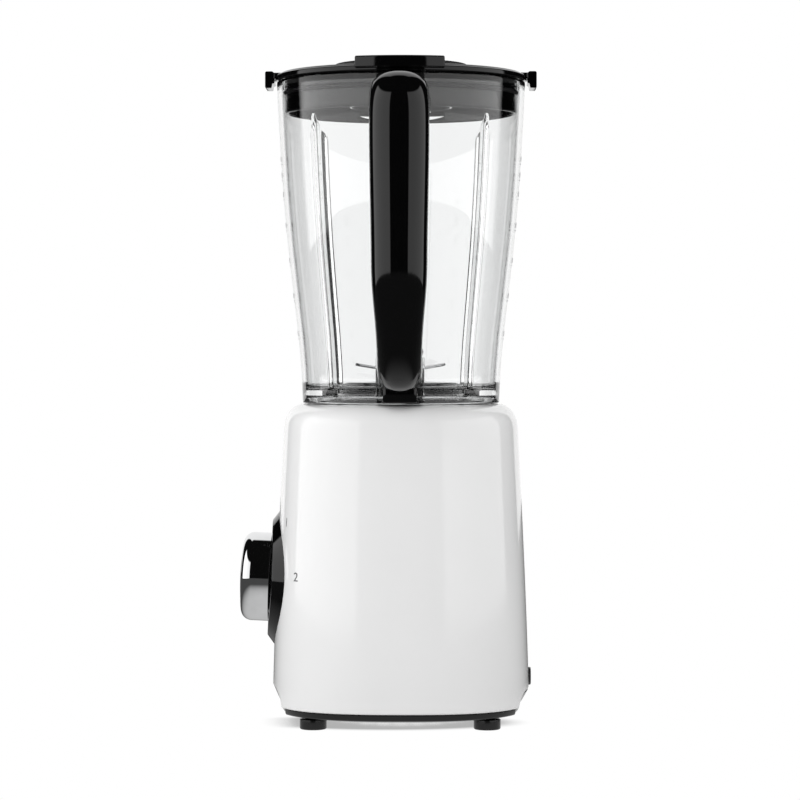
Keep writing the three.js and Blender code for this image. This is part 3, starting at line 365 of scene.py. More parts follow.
def pattern(nodes, links, kind, scale, stretch=(1, 1, 1), **values):
    """A texture on Object coordinates, with its scale per metre and a stretch along each axis."""
    place = nodes.new("ShaderNodeTexCoord")
    turn = nodes.new("ShaderNodeMapping")
    turn.inputs["Scale"].default_value = stretch
    texture = nodes.new(kind)
    texture.inputs["Scale"].default_value = scale
    for key, value in values.items():
        if key in texture.inputs:
            texture.inputs[key].default_value = value
        else:
            setattr(texture, key, value)
    links.new(place.outputs["Object"], turn.inputs["Vector"])
    links.new(turn.outputs["Vector"], texture.inputs["Vector"])
    return texture


def spread(nodes, links, source, low, high, target):
    """Maps a pattern's middle range onto low to high and feeds it to a socket."""
    ramp = nodes.new("ShaderNodeMapRange")
    ramp.inputs["From Min"].default_value = 0.3
    ramp.inputs["From Max"].default_value = 0.7
    ramp.inputs["To Min"].default_value = low
    ramp.inputs["To Max"].default_value = high
    links.new(source, ramp.inputs["Value"])
    links.new(ramp.outputs["Result"], target)


def tones(nodes, links, source, dark, pale, target):
    """Blends two colours by a pattern and feeds the result to a socket."""
    ramp = nodes.new("ShaderNodeValToRGB")
    ramp.color_ramp.elements[0].position, ramp.color_ramp.elements[1].position = 0.35, 0.65
    ramp.color_ramp.elements[0].color = (*dark, 1)
    ramp.color_ramp.elements[1].color = (*pale, 1)
    links.new(source, ramp.inputs["Fac"])
    links.new(ramp.outputs["Color"], target)


def relief(nodes, links, sources, shader_node):
    """Adds fine relief from (pattern output, depth in mm, strength), one after the other."""
    normal = None
    for source, depth, strength in sources:
        bump = nodes.new("ShaderNodeBump")
        bump.inputs["Strength"].default_value = strength
        bump.inputs["Distance"].default_value = depth * MM
        links.new(source, bump.inputs["Height"])
        if normal is not None:
            links.new(normal, bump.inputs["Normal"])
        normal = bump.outputs["Normal"]
    links.new(normal, shader_node.inputs["Normal"])


def shade(colour, factor):
    """A colour made darker or paler."""
    return tuple(min(1.0, c * factor) for c in colour)


def moulded(name, colour, smooth, rough, wave_mm=9.0, wave=0.01, grain_mm=0.0, grain=0.0, mottle=0.03, coat=0.0):
    """Moulded plastic: long soft waves left by the tool, a fine grain where it is textured, faint handling marks in its
    roughness, and a colour that drifts a little."""
    material, nodes, links, bsdf = shader(name)
    waves = pattern(nodes, links, "ShaderNodeTexNoise", 1000 / wave_mm, Detail=1.0)
    drift = pattern(nodes, links, "ShaderNodeTexNoise", 26, Detail=3.0)
    marks = pattern(nodes, links, "ShaderNodeTexNoise", 55, (1.0, 1.0, 0.35), Detail=6.0, Roughness=0.62)
    tones(
        nodes, links, drift.outputs["Fac"], shade(colour, 1 - mottle), shade(colour, 1 + mottle),
        bsdf.inputs["Base Color"]
    )
    spread(nodes, links, marks.outputs["Fac"], smooth, rough, bsdf.inputs["Roughness"])
    sources = [(waves.outputs["Fac"], 1.0, wave)]
    if grain:
        fine = pattern(nodes, links, "ShaderNodeTexNoise", 1000 / grain_mm, Detail=4.0, Roughness=0.6)
        sources.append((fine.outputs["Fac"], 0.2, grain))
    relief(nodes, links, sources, bsdf)
    bsdf.inputs["IOR"].default_value = 1.49
    if coat:
        bsdf.inputs["Coat Weight"].default_value = coat
        bsdf.inputs["Coat Roughness"].default_value = 0.03
    return material


def metal(name, colour, smooth, rough, stretch, scratch=0.05, scale=900):
    """Bare metal: fine lines along one direction break its gloss, and its tone shifts between them."""
    material, nodes, links, bsdf = shader(name)
    lines = pattern(nodes, links, "ShaderNodeTexNoise", scale, stretch, Detail=3.0, Roughness=0.7)
    stain = pattern(nodes, links, "ShaderNodeTexNoise", 60, Detail=4.0)
    tones(nodes, links, stain.outputs["Fac"], shade(colour, 0.93), shade(colour, 1.04), bsdf.inputs["Base Color"])
    spread(nodes, links, lines.outputs["Fac"], smooth, rough, bsdf.inputs["Roughness"])
    relief(nodes, links, [(lines.outputs["Fac"], 0.1, scratch)], bsdf)
    bsdf.inputs["Metallic"].default_value = 1.0
    return material


def banded(name, colour, dark, scale, direction, rough, metallic, strength):
    """Turns of wire or stacked sheets: parallel bands whose edges are dark and sunk."""
    material, nodes, links, bsdf = shader(name)
    bands = pattern(nodes, links, "ShaderNodeTexWave", scale, bands_direction=direction, Distortion=0.4, Detail=1.0)
    tones(nodes, links, bands.outputs["Fac"], dark, colour, bsdf.inputs["Base Color"])
    haze = pattern(nodes, links, "ShaderNodeTexNoise", 300, Detail=3.0)
    spread(nodes, links, haze.outputs["Fac"], rough * 0.8, rough * 1.25, bsdf.inputs["Roughness"])
    relief(nodes, links, [(bands.outputs["Fac"], 0.3, strength)], bsdf)
    bsdf.inputs["Metallic"].default_value = metallic
    return material


def clear_plastic(name, tint):
    """Clear moulded plastic: light passes through, and long soft waves from the mould bend it a little."""
    material, nodes, links, bsdf = shader(name)
    waves = pattern(nodes, links, "ShaderNodeTexNoise", 42, (1.0, 1.0, 0.4), Detail=1.0)
    marks = pattern(nodes, links, "ShaderNodeTexNoise", 90, Detail=5.0)
    tones(nodes, links, waves.outputs["Fac"], shade(tint, 0.992), tint, bsdf.inputs["Base Color"])
    spread(nodes, links, marks.outputs["Fac"], 0.0, 0.012, bsdf.inputs["Roughness"])
    relief(nodes, links, [(waves.outputs["Fac"], 1.0, 0.004)], bsdf)
    bsdf.inputs["Transmission Weight"].default_value = 1.0
    bsdf.inputs["IOR"].default_value = 1.56
    return material


MATERIALS = {}


def finish_of(slot):
    """The material of a record slot, made when it is first asked for."""
    if slot not in MATERIALS:
        finishes = bpy.context.scene.blender_finishes
        satin = tuple(finishes.satin_colour)
        makers = {
            "white_plastic": lambda: moulded(
                "gloss_white", tuple(finishes.body_colour), 0.07, 0.13, wave_mm=14, wave=0.010, mottle=0.006, coat=0.3
            ),
            "black_plastic": lambda: moulded(
                "gloss_black", tuple(finishes.trim_colour), 0.035, 0.075, wave_mm=12, wave=0.006, mottle=0.12
            ),
            "dark_plastic": lambda: moulded("satin_black", satin, 0.34, 0.46, grain_mm=0.5, grain=0.25, mottle=0.12),
            "clear_plastic": lambda: clear_plastic("clear_moulded", tuple(finishes.jug_colour)),
            "rubber": lambda: moulded(
                "foot_rubber", (0.004, 0.004, 0.004), 0.14, 0.22, grain_mm=0.7, grain=0.06, mottle=0.15
            ),
            "silicone": lambda: moulded(
                "seal_silicone", (0.02, 0.02, 0.021), 0.42, 0.55, grain_mm=1.1, grain=0.2, mottle=0.1
            ),
            "chrome": lambda: metal("knob_chrome", (0.80, 0.805, 0.81), 0.02, 0.055, (1, 0.05, 0.05), scratch=0.004),
            "steel": lambda: metal("brushed_steel", (0.56, 0.565, 0.57), 0.16, 0.30, (1, 0.08, 1), scratch=0.06),
            "cast_alloy": lambda: metal(
                "cast_alloy", (0.42, 0.425, 0.43), 0.36, 0.55, (1, 1, 1), scratch=0.3, scale=500
            ),
            "copper": lambda: banded("enamelled_wire", (0.55, 0.20, 0.08), (0.2, 0.06, 0.02), 330, "Z", 0.3, 0.85, 0.6),
            "lamination": lambda: banded(
                "stacked_sheets", (0.2, 0.205, 0.215), (0.07, 0.07, 0.075), 620, "Z", 0.45, 0.8, 0.5
            ),
            "carbon": lambda: moulded(
                "brush_carbon", (0.02, 0.02, 0.021), 0.45, 0.62, grain_mm=0.4, grain=0.4, mottle=0.2
            ),
            "print_white": lambda: moulded("pointer_white", (0.72, 0.72, 0.72), 0.3, 0.42, grain_mm=0.4, grain=0.1),
            "print_dark": lambda: moulded(
                "print_ink", tuple(finishes.print_colour), 0.3, 0.45, grain_mm=0.25, grain=0.15, mottle=0.12
            ),
        }
        MATERIALS[slot] = makers[slot]()
    return MATERIALS[slot]


# ---------- motor base ----------
def squareness(angle):
    """How far out a superellipse of half width 1 lies at an angle."""
    return (np.abs(np.cos(angle)) ** SQUARENESS + np.abs(np.sin(angle)) ** SQUARENESS) ** (-1 / SQUARENESS)


def shell_half(z):
    """Half the shell's width at a height: upright at the foot, then drawn in along a power curve up to the shoulder."""
    waist = Z_TOP - 12.0
    t = np.clip((z - Z_SHELL - 9) / (waist - Z_SHELL - 9), 0, 1)
    return HALF_LOW - (HALF_LOW - HALF_HIGH) * t**1.25


def shell_depth(y, z):
    """How far in front of the drive axis the shell's face lies at a place (y, z): the superellipse solved for x."""
    half = shell_half(z)
    return (half**SQUARENESS - np.minimum(np.abs(y), half) ** SQUARENESS) ** (1 / SQUARENESS)


def arch_edge(y, front):
    """Height of the shell's lower edge: flat, but raised at the front and at the back by a flat-topped bell, one less
    the eighth power of the share of the half width, that power being taken to 0.8."""
    rise = np.where(front, ARCH_FRONT, ARCH_REAR)
    return Z_SHELL + rise * (1 - np.minimum(np.abs(y) / ARCH_HALF, 1) ** 8) ** 0.8


def shell_angles(count):
    """Angles round the shell, closer together by the feet of the arches."""
    fine = np.linspace(0, 2 * np.pi, 20001)
    y = HALF_LOW * squareness(fine) * np.sin(fine)
    density = 1 + 5 * np.exp(-(((np.abs(y) - ARCH_HALF) / 2.2) ** 2))
    total = np.concatenate([[0], np.cumsum(0.5 * (density[1:] + density[:-1]))])
    return np.interp(np.arange(count) * total[-1] / count, total, fine)


def shell_surface():
    """The shell as one closed skin. Across it runs a profile: up the outer wall, over an elliptical shoulder, down into
    the jug's seat and the shaft's hole, back under the seat, and down the inner wall to the edge. Round it, the
    profile's radius is stretched from a circle at the seat to a superellipse at the wall, and its foot follows the
    arches."""
    a = shell_angles(560)
    square = squareness(a)
    edge = arch_edge(HALF_LOW * square * np.sin(a), np.cos(a) < 0)[:, None]
    waist = Z_TOP - SHOULDER_HIGH
    up = np.linspace(0, 1, 30) ** 1.15
    foot = np.linspace(0, np.pi / 2, 5)
    lip = 0.9
    outer_z = np.concatenate([edge + lip * (1 - np.cos(foot)), edge + lip + (waist - edge - lip) * up[1:]], 1)
    outer_r = shell_half(outer_z)
    outer_r[:, :5] -= lip * (1 - np.sin(foot))
    turn = np.linspace(0, np.pi / 2, 14)[1:]
    shoulder = np.stack([HALF_HIGH - SHOULDER_WIDE * (1 - np.cos(turn)), waist + SHOULDER_HIGH * np.sin(turn)], -1)
    seat = rounded(
        [
            [SEAT_R + 3.0, Z_TOP, 0.01],
            [SEAT_R, Z_TOP, 1.8],
            [SEAT_R - 0.3, Z_SEAT, 1.5],
            [SHAFT_HOLE_R + 6, Z_SEAT, 0.5],
            [SHAFT_HOLE_R + 5.2, Z_SEAT + 0.8, 0.5],
            [SHAFT_HOLE_R, Z_SEAT + 0.8, 0.5],
            [SHAFT_HOLE_R, Z_SEAT - WALL, 0.3],
            [SEAT_R + WALL, Z_SEAT - WALL, 1.0],
            [SEAT_R + WALL, Z_TOP - WALL, 0.3],
            [SEAT_R + WALL + 0.6, Z_TOP - WALL, 0.01],
        ],
        5,
        closed=False,
    )
    inner_turn = turn[::-1]
    inner_shoulder = np.stack(
        [
            HALF_HIGH - WALL - (SHOULDER_WIDE - WALL) * (1 - np.cos(inner_turn)),
            waist + (SHOULDER_HIGH - WALL) * np.sin(inner_turn)
        ], -1
    )
    down = np.linspace(1, 0, 16)
    inner_z = edge + lip + (waist - edge - lip) * down
    inner_r = shell_half(inner_z) - WALL
    close_z = edge + lip * (1 - np.sin(foot))
    close_r = shell_half(edge) - WALL + lip * (1 - np.cos(foot))
    middle = np.concatenate([shoulder, seat, inner_shoulder])
    r = np.concatenate([outer_r, np.broadcast_to(middle[:, 0], (len(a), len(middle))), inner_r, close_r], 1)
    z = np.concatenate([outer_z, np.broadcast_to(middle[:, 1], (len(a), len(middle))), inner_z, close_z], 1)
    share = np.clip((r - SEAT_R) / 12.0, 0, 1)
    r = r * (1 + (square[:, None] - 1) * share)
    return np.stack([r * np.cos(a)[:, None], r * np.sin(a)[:, None], z], -1)


def rod(radius, start, end, segments=32):
    """A plain round rod along Z, closed at both ends, for cutting holes."""
    return turned(np.array([[0, start], [radius, start], [radius, end], [0, end]], float), segments)


def along_x(points, z):
    """Points drawn up the Z axis, laid along +X at a height."""
    return np.stack([points[..., 2], points[..., 1], z - points[..., 0]], -1)


DIAL_X = -(float(shell_half(DIAL_Z)) + 4.0)
DIAL_TURN = np.array(
    [
        [math.sin(DIAL_TILT), 0, -math.cos(DIAL_TILT)],
        [0, 1, 0],
        [math.cos(DIAL_TILT), 0, math.sin(DIAL_TILT)],
    ]
)


def on_dial(points):
    """Points from the dial's own frame to the blender's."""
    return points @ DIAL_TURN.T + np.array([DIAL_X, 0, DIAL_Z])


PIN_Y = COLLAR_R - 7.0
PIN_HOLE_R, SPINDLE_HOLE_R, CORD_HOLE_R = 3.0, 4.2, 4.7
GLAND_Z = middle_mm("cord_gland")[2]


class COUNTERBLENDER_OT_shell(bpy.types.Operator):
    """Makes the motor base's gloss shell with its sunken seat for the jug"""

    bl_idname = "counterblender.shell"
    bl_label = "Shell"
    bl_options = {"REGISTER", "UNDO"}

    def execute(self, context):
        holes = [
            (rod(PIN_HOLE_R, Z_SEAT - 8, Z_SEAT + 6) + np.array([0, PIN_Y, 0]), True, False),
            (on_dial(rod(SPINDLE_HOLE_R, -14, 3)), True, False),
            (along_x(rod(CORD_HOLE_R, 60, 82), GLAND_Z), True, False),
        ]
        piece("housing_shell", [(shell_surface(), True, True)], "base", "white_plastic", ["housing"], 40, holes)
        return {"FINISHED"}


def plate_surface():
    """The base plate: a shallow tray on the shell's own superellipse. Behind each arch it is drawn in along a
    flat-topped bell, and its rim rises and leans out there until it meets the arch's edge from behind. That raised
    black rim is painted shade: a dark sheet that puts a dark line along the arch's edge, standing in for the shade
    on the shell's lip there."""
    a = shell_angles(420)
    square = squareness(a)
    r_plate = HALF_LOW - 2.2
    y = r_plate * square * np.sin(a)
    front = np.cos(a) < 0
    reach = ARCH_HALF - 1.0
    bell = (1 - np.clip(np.abs(y) / reach, 0, 1) ** 8) ** 1.2
    rim = Z_SHELL - 0.3
    # Painted shade: behind each arch the black rim is raised to just under the arch's edge, so it shows as a dark line
    # where the shell's lip is in shade.
    top = np.where(np.abs(y) < reach, np.minimum(arch_edge(y, front) - 0.25, np.where(front, 40.0, GLAND_Z - 6.6)), rim)
    top = np.maximum(top, rim)
    profile = rounded(
        [
            [r_plate - 5, Z_PLATE, 1.5],
            [r_plate + 0.4, Z_PLATE + 1.2, 1.4],
            [r_plate + 0.8, rim, 0.4],
            [r_plate - 1.6, rim, 0.4],
            [r_plate - 2.4, Z_PLATE + WALL, 0.8],
        ],
        4,
        closed=False,
    )
    t = np.linspace(0, 1, 10)[1:]
    low = np.concatenate([[[0, Z_PLATE]], [[r_plate - 30, Z_PLATE]], profile[: len(profile) // 2]])
    x_foot = 0.945 + 0.045 * (1 - bell)
    # Painted shade: the raised rim leans out until it sits right behind the arch's edge, so that its dark line shows
    # there.
    lean = (shell_depth(np.minimum(np.abs(y), reach), top) - 0.9) / np.maximum(r_plate * square * np.abs(np.cos(a)), 1)
    x_top = np.where(bell > 0, np.maximum(lean, x_foot), x_foot)

    def ring(r, z, share):
        """One row round the plate, with share telling how far up the leaning rim it lies."""
        width = x_foot + (x_top - x_foot) * share**0.8 * np.minimum(1, bell * 3)
        height = z + (top - rim) * share
        return np.stack([width * r * square * np.cos(a), r * square * np.sin(a), height + 0 * a], -1)

    rows = [ring(r, z, 0.0) for r, z in low]
    rows += [ring(r_plate + 0.4, rim, k) for k in t]
    rows += [ring(r_plate - 1.2, rim, k) for k in t[::-1]]
    rows += [
        ring(r_plate - 2.0, Z_PLATE + WALL + 0.6, 0.0), ring(r_plate - 3.0, Z_PLATE + WALL, 0.0),
        ring(0, Z_PLATE + WALL, 0.0)
    ]
    return np.stack(rows, 1)


AIR_SLOTS_R, AIR_SLOT_STEP = 36.0, 10.0


class COUNTERBLENDER_OT_base_plate(bpy.types.Operator):
    """Makes the base plate with its air slots, its four screws and its rubber feet"""

    bl_idname = "counterblender.base_plate"
    bl_label = "Base plate and feet"
    bl_options = {"REGISTER", "UNDO"}

    def execute(self, context):
        slots = []
        for x in np.arange(-3, 4) * AIR_SLOT_STEP:
            outline = rounded_rect(2.4, math.sqrt(AIR_SLOTS_R**2 - x**2), 2.3) + np.array([x, 0])
            slots.append((prism(outline, Z_PLATE - 3, Z_PLATE + 6), False, True))
        wells = [(rod(3.6, Z_PLATE - 3, Z_PLATE + 2.4) + np.array([x, y, 0]), True, False) for x, y in SCREWS]
        piece(
            "base_tray", [(plate_surface(), True, False)], "base", "black_plastic", ["base_plate"], 30,
            slots + wells,
        )
        pad = rounded(
            [[0, 0.5, 0], [3.4, 0.5, 0.4], [3.9, 0, 0.4], [FOOT_R, 0, 1.0], [FOOT_R, 5.85, 0.2], [2.6, 5.85, 0.2],
             [2.6, 9.2, 0.2], [3.3, 9.6, 0.3], [1.6, 12.6, 0.5], [0, 12.6, 0]],
            4,
            closed=False,
        )
        head = rounded(
            [[0, 6.9, 0], [0.9, 6.9, 0.1], [1.2, 6.2, 0.2], [2.6, 6.25, 0.4], [3.2, 7.2, 0.3], [3.2, 8.1, 0.2],
             [1.7, 8.3, 0.2], [1.7, 27, 0.3], [0, 29, 0]],
            3,
            closed=False,
        )
        for i, (x, y) in enumerate(FEET):
            piece(
                f"rubber_foot_{i + 1}", [(turned(pad, 64) + np.array([x, y, 0]), True, False)], "base", "rubber",
                [f"foot_{i + 1}"]
            )
        for i, (x, y) in enumerate(SCREWS):
            piece(
                f"base_screw_{i + 1}", [(turned(head, 32, hex_socket(1.25, 6.95)) + np.array([x, y, 0]), True, False)],
                "base", "steel", [f"plate_screw_{i + 1}"],
            )
        return {"FINISHED"}


def hex_socket(reach, deepest):
    """A radius rule that turns the small inner ring of a screw's head into a six-sided socket."""

    def grow(angle, r, z):
        six = math.cos(math.pi / 6) / np.cos((angle + math.pi / 6) % (math.pi / 3) - math.pi / 6)
        return np.where((r < reach) & (np.abs(z - deepest) < 0.9), r * six, r)

    return grow


class COUNTERBLENDER_OT_gland(bpy.types.Operator):
    """Makes the ribbed bush where the mains lead enters the back of the base"""

    bl_idname = "counterblender.gland"
    bl_label = "Cord bush"
    bl_options = {"REGISTER", "UNDO"}

    def execute(self, context):
        face = float(shell_half(GLAND_Z))
        inside = face - WALL - 0.3
        profile = rounded(
            [[3.4, inside - 7, 0.3], [4.4, inside - 7, 0.3], [4.4, inside - 3, 0.2], [6.3, inside - 3, 0.4],
             [6.3, inside - 0.9, 0.4],
             [4.4, inside - 0.9, 0.2], [4.4, face + 0.1, 0.1], [5.3, face + 0.1, 0.2], [5.2, face + 1.5, 0.6],
             [3.4, face + 1.5, 0.5], [3.6, face + 0.4, 0.3], [3.2, face - 1.2, 0.3]],
            4,
        )
        piece(
            "cord_bush", [(along_x(turned(profile, 64), GLAND_Z), True, True)], "base", "dark_plastic", ["cord_gland"]
        )
        return {"FINISHED"}


# ---------- dial ----------
def dial_to_shell(rho, a, w, gap=0.05):
    """Slides points of the dial's frame along its axis until they lie on the shell, and leaves a small gap: each step
    adds the distance that is still left in front of the shell's superellipse."""
    for _ in range(6):
        place = on_dial(np.stack([rho * np.cos(a), rho * np.sin(a), w], -1))
        w = w + (place[..., 0] + shell_depth(place[..., 1], place[..., 2]))
    return w + gap


def bezel_surface():
    """The dial's surround: a ring with a round front edge and a flank that flares back to meet the shell, where its
    rear edge follows the shell's own curve. Its front is bowed: it falls back with the square of the distance to the
    side."""
    a = round_angles(180)[:, None]
    front = rounded(
        [
            [4, -1.6, 0], [KNOB_R + 1.2, -1.6, 0.3], [KNOB_R + 2.2, 0, 0.5], [BEZEL_R, 0, 0.9],
            [BEZEL_R + BEZEL_FLARE, -6.0, 0.01]
        ],
        5,
        closed=False,
    )[:-6]
    front_w = front[None, :, 1] - BEZEL_BOW * (front[None, :, 0] * np.sin(a) / BEZEL_R) ** 2
    rear_rho = np.full_like(a, BEZEL_R + BEZEL_FLARE)
    rear_w = dial_to_shell(rear_rho, a, np.full_like(a, -4.0))
    t = np.linspace(0, 1, 8)[None, 1:]
    flank_rho = front[-1, 0] + (rear_rho - front[-1, 0]) * t
    flank_w = front_w[:, -1:] + (rear_w - front_w[:, -1:]) * t
    s = np.linspace(0, 1, 10)[None, 1:]
    back_rho = rear_rho + (4 - rear_rho) * s
    back_w = dial_to_shell(back_rho, a + 0 * s, np.full_like(back_rho, -5.0))
    rho = np.concatenate([front[None, :, 0] + 0 * a, flank_rho, back_rho], 1)
    w = np.concatenate([front_w, flank_w, back_w], 1)
    return on_dial(np.stack([rho * np.cos(a), rho * np.sin(a), w], -1))


def on_front(flat, y, z, lift):
    """Flat artwork laid on the shell's front: its x runs toward -Y, its y up, and its z stands out of the surface."""
    py, pz = y - flat[:, 0], z + flat[:, 1]
    return np.stack([-(shell_depth(py, pz) + lift + flat[:, 2]), py, pz], -1)


def text_points(text, height):
    """A word's solid letters in millimetres about their own middle, as (points, faces)."""
    curve = bpy.data.curves.new("letters", "FONT")
    curve.body, curve.size, curve.extrude = text, height / 0.72, 0.06
    curve.align_x, curve.align_y = "CENTER", "CENTER"
    curve.resolution_u = 8
    obj = bpy.data.objects.new("letters", curve)
    bpy.context.scene.collection.objects.link(obj)
    bpy.context.view_layer.update()
    mesh = bpy.data.meshes.new_from_object(obj.evaluated_get(bpy.context.evaluated_depsgraph_get()))
    points = np.zeros(len(mesh.vertices) * 3)
    mesh.vertices.foreach_get("co", points)
    faces = [tuple(p.vertices) for p in mesh.polygons]
    bpy.data.objects.remove(obj)
    bpy.data.meshes.remove(mesh)
    points = points.reshape(-1, 3)
    middle = 0.5 * (points.min(0) + points.max(0))
    return points - middle, faces


def print_piece(name, groups, body):
    """One piece of printed ink from several (points in mm, faces) groups."""
    places, faces, base = [], [], 0
    for points, polygons in groups:
        places.append(points)
        faces += [tuple(i + base for i in f) for f in polygons]
        base += len(points)
    mesh = bpy.data.meshes.new(name)
    mesh.from_pydata((np.concatenate(places) * MM + AXIS).tolist(), [], faces)
    tidy_mesh(mesh, 30)
    obj = bpy.data.objects.new(name, mesh)
    bpy.context.scene.collection.objects.link(obj)
    obj.data.materials.append(finish_of("print_dark"))
    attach(obj, body)


def ribbon(path, width):
    """A thin solid line along a flat path [k, 2]: offset to both sides along its normals, with square ends."""
    along = np.gradient(path, axis=0)
    normal = np.stack([-along[:, 1], along[:, 0]], -1) / np.linalg.norm(along, axis=1, keepdims=True)
    left, right = path + normal * width / 2, path - normal * width / 2
    flat = np.stack([left, right, right, left], 1)
    z = np.broadcast_to(np.array([0.06, 0.06, -0.06, -0.06])[None, :, None], flat.shape[:2] + (1,))
    points = np.concatenate([flat, z], -1).reshape(-1, 3)
    k = len(path)
    i, j = np.meshgrid(np.arange(k - 1), np.arange(4), indexing="ij")
    quads = np.stack([i * 4 + j, i * 4 + (j + 1) % 4, (i + 1) * 4 + (j + 1) % 4, (i + 1) * 4 + j], -1).reshape(-1, 4)
    ends = [(0, 1, 2, 3), tuple(4 * (k - 1) + q for q in (3, 2, 1, 0))]
    return points, [tuple(q) for q in quads.tolist()] + ends


class COUNTERBLENDER_OT_dial(bpy.types.Operator):
    """Makes the dial: its black surround, the chrome knob and the knob's pointer"""

    bl_idname = "counterblender.dial"
    bl_label = "Dial"
    bl_options = {"REGISTER", "UNDO"}

    def execute(self, context):
        sizes = context.scene.blender_sizes
        dome = sizes.knob_dome / MM
        piece("dial_surround", [(bezel_surface(), True, True)], "base", "black_plastic", ["knob_bezel"], 34)
        front, turn_in = KNOB_FRONT, 13.0
        fall = dome / 22.0**2
        edge_z = front - fall * turn_in**2 - 2 * fall * turn_in * (KNOB_R - turn_in)
        rho = np.linspace(turn_in, 0, 12)
        crown = np.stack([rho, front - fall * rho**2], -1)
        side = rounded(
            [
                [KNOB_R - 1.6, -0.4, 0.3], [KNOB_R, -0.4, 0.5], [KNOB_R, edge_z, 6.4],
                [turn_in, front - fall * turn_in**2, 0.01]
            ], 14, closed=False
        )[:-15]
        inside = np.array(
            [[0, front - 3.0], [KNOB_R - 8.0, front - 4.0], [KNOB_R - 2.2, front - 8.5], [KNOB_R - 1.8, 0.0]], float
        )
        profile = np.concatenate([side, crown, inside])
        tilt = np.array([[1, 0, -2 * fall * POINTER_R], [0, 1, 0], [0, 0, 1]])
        level = front + fall * POINTER_R**2
        slot_hole = prism(rounded_rect(3.9, 1.05, 1.0) + np.array([POINTER_R, 0]), level - 0.7, level + 3, 0) @ tilt
        knob = [(on_dial(turned(profile, 128)), True, True)]
        piece("chrome_knob", knob, "dial", "chrome", ["knob_shell"], 36, [(on_dial(slot_hole), False, True)])
        bar = prism(rounded_rect(3.75, 0.9, 0.85) + np.array([POINTER_R, 0]), level - 1.4, level + 0.15, 0.25) @ tilt
        piece("knob_mark", [(on_dial(bar), False, True)], "dial", "print_white", ["knob_pointer"])
        return {"FINISHED"}


class COUNTERBLENDER_OT_dial_print(bpy.types.Operator):
    """Prints the numbers 0, 1 and 2 and a pulse sign round the dial"""

    bl_idname = "counterblender.dial_print"
    bl_label = "Dial numbers"
    bl_options = {"REGISTER", "UNDO"}

    def execute(self, context):
        height = context.scene.blender_sizes.digit_height / MM

        def beside_dial(points, degrees):
            """Flat artwork set on the marks' ring, so many degrees round from the top."""
            a = math.radians(degrees)
            return on_front(points, -MARK_R * math.sin(a), DIAL_Z + MARK_R * math.cos(a), 0.02)

        groups = []
        for text, degrees in (("0", 0.0), ("1", 48.0), ("2", 86.0)):
            points, faces = text_points(text, height)
            groups.append((beside_dial(points, degrees), faces))
        steps = np.array([[-3, -1.6], [-1.4, -1.6], [-1.2, 1.6], [1.2, 1.6], [1.4, -1.6], [3, -1.6]], float)
        t = np.linspace(0, len(steps) - 1, 41)
        path = np.stack([np.interp(t, np.arange(len(steps)), steps[:, k]) for k in (0, 1)], -1)
        points, faces = ribbon(path, 0.75)
        groups.append((beside_dial(points, -45.0), faces))
        print_piece("dial_numbers", groups, "base")
        return {"FINISHED"}


# ---------- drive ----------
LOBE_R, LOBE_DEPTH, SOCKET_R = 16.0, 4.5, 16.5


def lobed(angle, radius, depth=LOBE_DEPTH, lobes=6):
    """Radius of a rounded six-lobed star: a circle that dips by depth between the lobes along a squared-off cosine."""
    wave = np.cos(lobes * angle)
    return radius - depth * (0.5 - 0.5 * np.tanh(2.2 * wave) / math.tanh(2.2))


class COUNTERBLENDER_OT_drive(bpy.types.Operator):
    """Makes the lobed drive coupling and the drip guard in the jug's seat"""

    bl_idname = "counterblender.drive"
    bl_label = "Drive coupling"
    bl_options = {"REGISTER", "UNDO"}

    def execute(self, context):
        low, top = low_mm("drive_coupling")[2], high_mm("drive_coupling")[2]
        hole = 4.3
        profile = rounded(
            [[hole, low, 0.2], [15.5, low, 0.4], [LOBE_R, low + 0.8, 0.4], [LOBE_R, top - 1.4, 0.8], [14.8, top, 0.8],
             [6.5, top, 0.5], [6.0, top - 1.4, 0.5], [hole, top - 1.4, 0.3]],
            5,
        )

        def grow(angle, r, z):
            return np.where(r > 9, r * lobed(angle, LOBE_R) / LOBE_R, r)

        piece(
            "lobed_coupling", [(turned(profile, 240, grow), True, True)], "rotor", "dark_plastic", ["drive_coupling"],
            40
        )
        guard = rounded(
            [[5.2, Z_SEAT - 4, 0.3], [10.6, Z_SEAT - 4, 0.4], [10.6, Z_SEAT + 1.0, 0.2], [15, Z_SEAT + 1.0, 0.2],
             [14.6, Z_SEAT + 1.6, 0.3], [5.2, Z_SEAT + 2.0, 0.3]],
            4,
        )
        piece("drip_ring", [(turned(guard, 96), True, True)], "base", "silicone", ["drip_guard"])
        return {"FINISHED"}


# ---------- jug ----------
def jug_radius(z):
    """The jug wall's outer radius at a height: an S from foot to rim, the smoothed line through its tenths."""
    t = np.linspace(0, 10, 201)
    share = np.interp(t, np.arange(11), JUG_SWELL)
    kernel = np.hanning(17)
    kernel /= kernel.sum()
    padded = np.concatenate([share[0] - (share[8:0:-1] - share[0]), share, 2 * share[-1] - share[-2:-10:-1]])
    smooth = np.convolve(padded, kernel, "valid")
    return JUG_LOW_R + (JUG_HIGH_R - JUG_LOW_R) * np.interp(
        np.clip((z - Z_JUG) / (Z_RIM - Z_JUG), 0, 1) * 10, t, smooth
    )


def spout_push(angle, z):
    """How far the rim is pushed out toward +Y: a bell across the spout times a power of the height above its root."""
    across = np.abs((angle - np.pi / 2 + np.pi) % (2 * np.pi) - np.pi) / 0.42
    bell = (0.5 + 0.5 * np.cos(np.pi * np.minimum(across, 1))) ** 0.8
    return SPOUT_REACH * np.clip((z - Z_RIM) / SPOUT_HIGH + 1, 0, 1) ** 1.6 * bell


